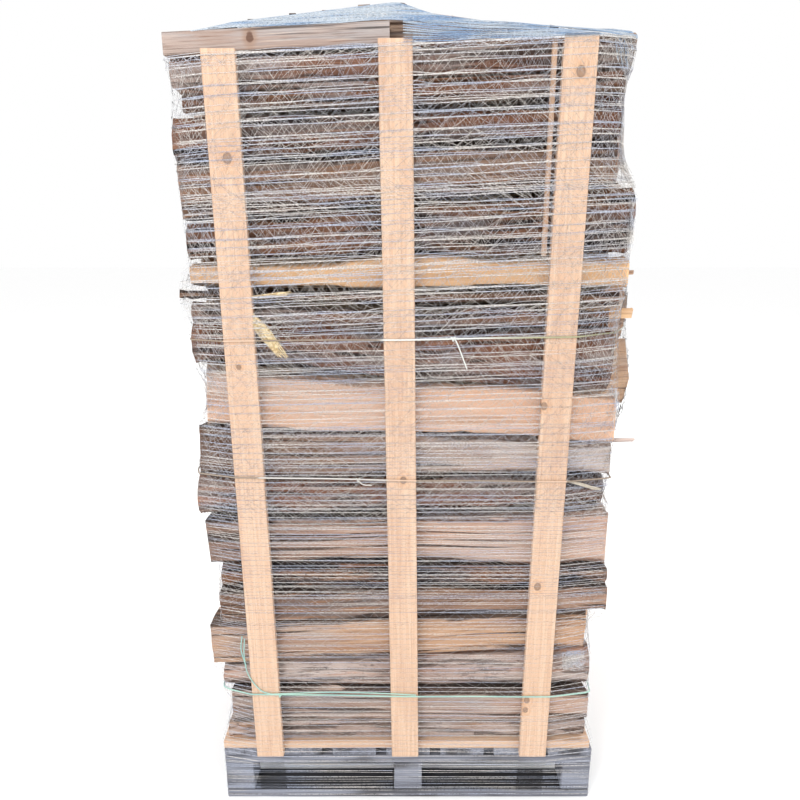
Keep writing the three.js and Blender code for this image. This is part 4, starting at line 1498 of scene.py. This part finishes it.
# The tent's threads wear the copy of the thread with painted shade.
net_piece("net_tent", tent_tubes, net_shaded_copy)
net_piece("net_tent_zigzag", cross_tubes[TENT_PAIRS], net_shaded_copy)
net_piece("net_tent_zigzag_white", cross_tubes[WHITE_PAIRS], net_white)
print("threads over the top:", len(tent_paths))

# %% Bunches where the net was pulled together
BUNCHES = [((0.490, -0.470, 1.540), (0.007, 0.035, 0.060), 70),
           ((0.489, -0.470, 1.118), (0.007, 0.035, 0.050), 60),
           ((0.431, -0.497, 0.437), (0.034, 0.008, 0.030), 50)]
bunch_draws = Draws(909)


def tangle(centre, reach, count):
    """Loose threads that wander inside a small box."""
    tubes = []
    for _ in range(count):
        places = [[centre[axis] + bunch_draws.spread(reach[axis]) for axis in range(3)]
                  for _ in range(4)]
        tubes.append(thread_tube(smooth_path(places, 0.008), THREAD_RADIUS, False))
    return tubes


bunch_tubes = [tube for bunch in BUNCHES for tube in tangle(*bunch)]
net_piece("net_bunches", bunch_tubes)
print("threads in bunches:", len(bunch_tubes))

# %% [markdown]
# Three twines hold the battens together. A twine is plies twisted round each other, so its tube
# gets a section of three lobes that turns as it goes. Each twine runs outside the net, in the
# space that its solid keeps.

# %% Twisted twine
TWINE_RADIUS = 0.0018
PLY_TURN = 0.011


def twine_tube(path, radius, closed, lobes=3, sides=9):
    """A tube with a lobed section that turns along the path."""
    steps = np.linalg.norm(np.diff(path, axis=0), axis=1)
    length = np.concatenate([[0], np.cumsum(steps)])
    run = np.gradient(path, axis=0)
    if closed:
        run = np.roll(path, -1, axis=0) - np.roll(path, 1, axis=0)
    run /= np.maximum(np.linalg.norm(run, axis=1), 1e-9)[:, None]
    up = np.where(np.abs(run[:, 2:3]) > 0.8, [[1.0, 0.0, 0.0]], [[0.0, 0.0, 1.0]])
    side = np.cross(run, up)
    side /= np.maximum(np.linalg.norm(side, axis=1), 1e-9)[:, None]
    above = np.cross(side, run)
    count = len(path)
    rings = []
    for k in range(sides):
        turn = 2 * math.pi * k / sides
        lobe = radius * (1 + 0.22 * np.cos(lobes * turn - 2 * math.pi * length / PLY_TURN))
        rings.append(path + lobe[:, None] * (math.cos(turn) * side + math.sin(turn) * above))
    points = np.concatenate(rings)
    first = np.arange(count if closed else count - 1)
    second = (first + 1) % count
    faces = [np.column_stack([second + k * count, first + k * count,
                              first + (k + 1) % sides * count, second + (k + 1) % sides * count])
             for k in range(sides)]
    return points, np.concatenate(faces)


def twine_loop(height, rise, seed):
    """A closed loop round the stack, at a height that rises along X."""
    reach = hull_reach(height, rise) + TWINE_RADIUS * 1.3
    x, y = reach * np.cos(NET_ANGLES), reach * np.sin(NET_ANGLES)
    place = np.column_stack([np.cos(NET_ANGLES), np.sin(NET_ANGLES), np.zeros(360)])
    sag = noise_at(place, (2.5, 2.5, 1.0), seed) * 0.003
    loop = np.column_stack([x, y, height + rise * x + sag])
    count = int(np.linalg.norm(np.diff(loop, axis=0), axis=1).sum() / 0.0035)
    return points_along(loop, np.arange(count) / count)


def front_y(x, height, rise):
    """The Y of the twine's loop in front of the stack."""
    reach = hull_reach(height, rise)
    ys, xs = reach * np.sin(NET_ANGLES), reach * np.cos(NET_ANGLES)
    front = ys < -0.3
    order = np.argsort(xs[front])
    return float(np.interp(x, xs[front][order], ys[front][order])) - TWINE_RADIUS * 1.3


def knot_path(place, size):
    """A small overhand knot: a curve that passes over and under itself."""
    turns = np.linspace(0, 4 * math.pi, 90)
    x = size * (np.sin(turns) + 0.9 * np.sin(2 * turns)) * 0.42
    z = size * (np.cos(turns) - 0.9 * np.cos(2 * turns)) * 0.42
    y = -size * 0.3 * np.sin(3 * turns) - size * 0.1
    return np.array(place) + np.column_stack([x, y, z])


# %% Twine material and loops
def twine_material(name, light, dark, roughness=0.6):
    paint = Paint(name, roughness)
    fibre = paint.noise(paint.stretch(paint.place(), (900.0, 900.0, 900.0)), 1.0, 2.0)
    patches = paint.noise(paint.place(), 9.0, 2.0)
    colour = paint.blend(patches.ramp(0.4, 0.6) * 0.6 + fibre * 0.3, light, dark)
    return paint.finish(colour, fibre, 0.0003)


def stained_twine(name, light, dark, left, right, dull_from, stain_from):
    """Pale twine, dull on one side and stained on the other, that takes the battens' colour."""
    paint = Paint(name, 0.6)
    place = paint.place()
    fibre = paint.noise(paint.stretch(place, (900.0, 900.0, 900.0)), 1.0, 2.0)
    x = paint.node("ShaderNodeSeparateXYZ", None, {0: place})
    y = Wire(paint, x.socket.node.outputs[1])
    z = Wire(paint, x.socket.node.outputs[2])
    front = y.ramp(-0.40, -0.48)
    colour = paint.blend(fibre * 0.35, light, dark)
    colour = paint.blend(x.ramp(*stain_from) * front * 0.85, colour, right)
    dull = x.ramp(*dull_from) * front
    hidden = paint.blend(over_battens(x, z), left, tint(208, 176, 150))
    colour = paint.blend(dull * 0.9, colour, hidden)
    return paint.finish(colour, fibre, 0.0003)


# Each twine's height at the middle of the front, its rise for a metre to the right, and its look
TWINES = {
    "twine_upper": (1.290, 0.014, stained_twine(
        "twine_upper", tint(224, 226, 222), tint(190, 194, 184), tint(132, 112, 92),
        tint(150, 148, 104), (-0.055, -0.075), (0.12, 0.30))),
    "twine_middle": (0.950, -0.012, stained_twine(
        "twine_middle", tint(206, 202, 196), tint(166, 160, 152), tint(140, 122, 104),
        tint(140, 122, 104), (-0.060, -0.045), (-0.355, -0.365))),
    "twine_lower": (0.346, -0.008, twine_material(
        "twine_lower", tint(172, 206, 192), tint(140, 180, 176))),
}


def on_front(node, x, rise_above=0.0, out=0.0):
    height, rise, _ = TWINES[node]
    return (x, front_y(x, height, rise) - out, height + rise * x + rise_above)


def twine_piece(node, extra_paths, knots):
    height, rise, material = TWINES[node]
    tubes = [twine_tube(twine_loop(height, rise, 60), TWINE_RADIUS, True)]
    tubes += [twine_tube(smooth_path(path), TWINE_RADIUS * 0.8, False) for path in extra_paths]
    for x, size in knots:
        place = on_front(node, x)
        tubes.append(twine_tube(knot_path(place, size), TWINE_RADIUS * 0.8, False))
    piece = thread_mesh(node + "_ply", tubes)
    bpy.ops.object.select_all(action="DESELECT")
    piece.select_set(True)
    bpy.context.view_layer.objects.active = piece
    bpy.ops.object.shade_smooth()
    return finish_piece(piece, node + "_ply", node, material, node)


upper_tail = [on_front("twine_upper", 0.101, 0.0, 0.001), on_front("twine_upper", 0.108, -0.012, 0.002),
              on_front("twine_upper", 0.119, -0.040, 0.001), on_front("twine_upper", 0.131, -0.071, 0.0)]
twine_piece("twine_upper", [upper_tail], [(0.098, 0.0065)])
middle_tail = [on_front("twine_middle", -0.125, 0.0, 0.001), on_front("twine_middle", -0.11, -0.012, 0.002),
               on_front("twine_middle", -0.09, -0.014, 0.001)]
twine_piece("twine_middle", [middle_tail], [(-0.122, 0.0065)])
second_strand = [on_front("twine_lower", x, lift) for x, lift in (
    (-0.37, 0.002), (-0.30, 0.006), (-0.2, 0.010), (-0.08, 0.008), (0.02, 0.003))]
hanging_end = [on_front("twine_lower", x, lift) for x, lift in (
    (-0.345, 0.0), (-0.385, 0.014), (-0.416, 0.060), (-0.424, 0.115), (-0.420, 0.165))]
doubled_end = [on_front("twine_lower", x, lift, 0.001)
               for x, lift in ((-0.420, 0.085), (-0.431, 0.130), (-0.426, 0.172))]
twine_piece("twine_lower", [second_strand, hanging_end, doubled_end], [(-0.336, 0.006)])
print("twines are tied")

# %% [markdown]
# Beside the left batten hangs a tuft of frayed straw-coloured fibre, caught under the net, and the
# middle twine is frayed at the right. Both are bundles of thin bent tubes that spread out.

# %% Frayed tuft
TUFT_FIBRES = 66
FIBRE_RADIUS = 0.0006
tuft_draws = Draws(515)
tuft_paint = Paint("tuft_fibre", 0.75)
tuft_shade = tuft_paint.noise(tuft_paint.place(), 160.0, 2.0)
tuft_straw = tuft_paint.finish(tuft_paint.blend(tuft_shade.ramp(0.4, 0.6), tint(238, 220, 180),
                                                tint(206, 180, 134)))
frayed_paint = Paint("frayed_end", 0.75)
frayed_pale = frayed_paint.finish(frayed_paint.blend(
    frayed_paint.noise(frayed_paint.place(), 160.0, 2.0), tint(222, 214, 200), tint(176, 164, 146)))


def tuft_fibre(start, end, spread):
    a, b = np.array(start), np.array(end)
    middle = (a + b) / 2
    fan = np.array([tuft_draws.spread(spread), tuft_draws.spread(0.002), tuft_draws.spread(spread)])
    root = a + np.array([tuft_draws.spread(0.003), 0.0, tuft_draws.spread(0.003)])
    reach = 0.75 + 0.25 * tuft_draws.one()
    tip = root + (b - a) * reach + fan * 0.5
    return smooth_path([root, middle + fan * 0.8, tip], 0.008)


def tuft_tubes(start, end, fibres, spread):
    return [thread_tube(tuft_fibre(start, end, spread), FIBRE_RADIUS, False) for _ in range(fibres)]


TUFT_Y = -0.514
tufts = tuft_tubes((-0.384, TUFT_Y, 1.374), (-0.283, TUFT_Y - 0.008, 1.246), TUFT_FIBRES, 0.014)
tufts += tuft_tubes((-0.380, TUFT_Y, 1.380), (-0.262, TUFT_Y - 0.006, 1.394), TUFT_FIBRES // 2, 0.006)
ends = tuft_tubes((0.362, TUFT_Y, 0.950), (0.462, TUFT_Y + 0.004, 0.920), TUFT_FIBRES // 2, 0.004)
for name, tubes, material in (("frayed_tuft", tufts, tuft_straw), ("frayed_end", ends, frayed_pale)):
    tuft = thread_mesh(name, tubes)
    tuft.data.materials.append(material)
    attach(tuft, "root")
print("fibres in the tufts:", len(tufts) + len(ends))
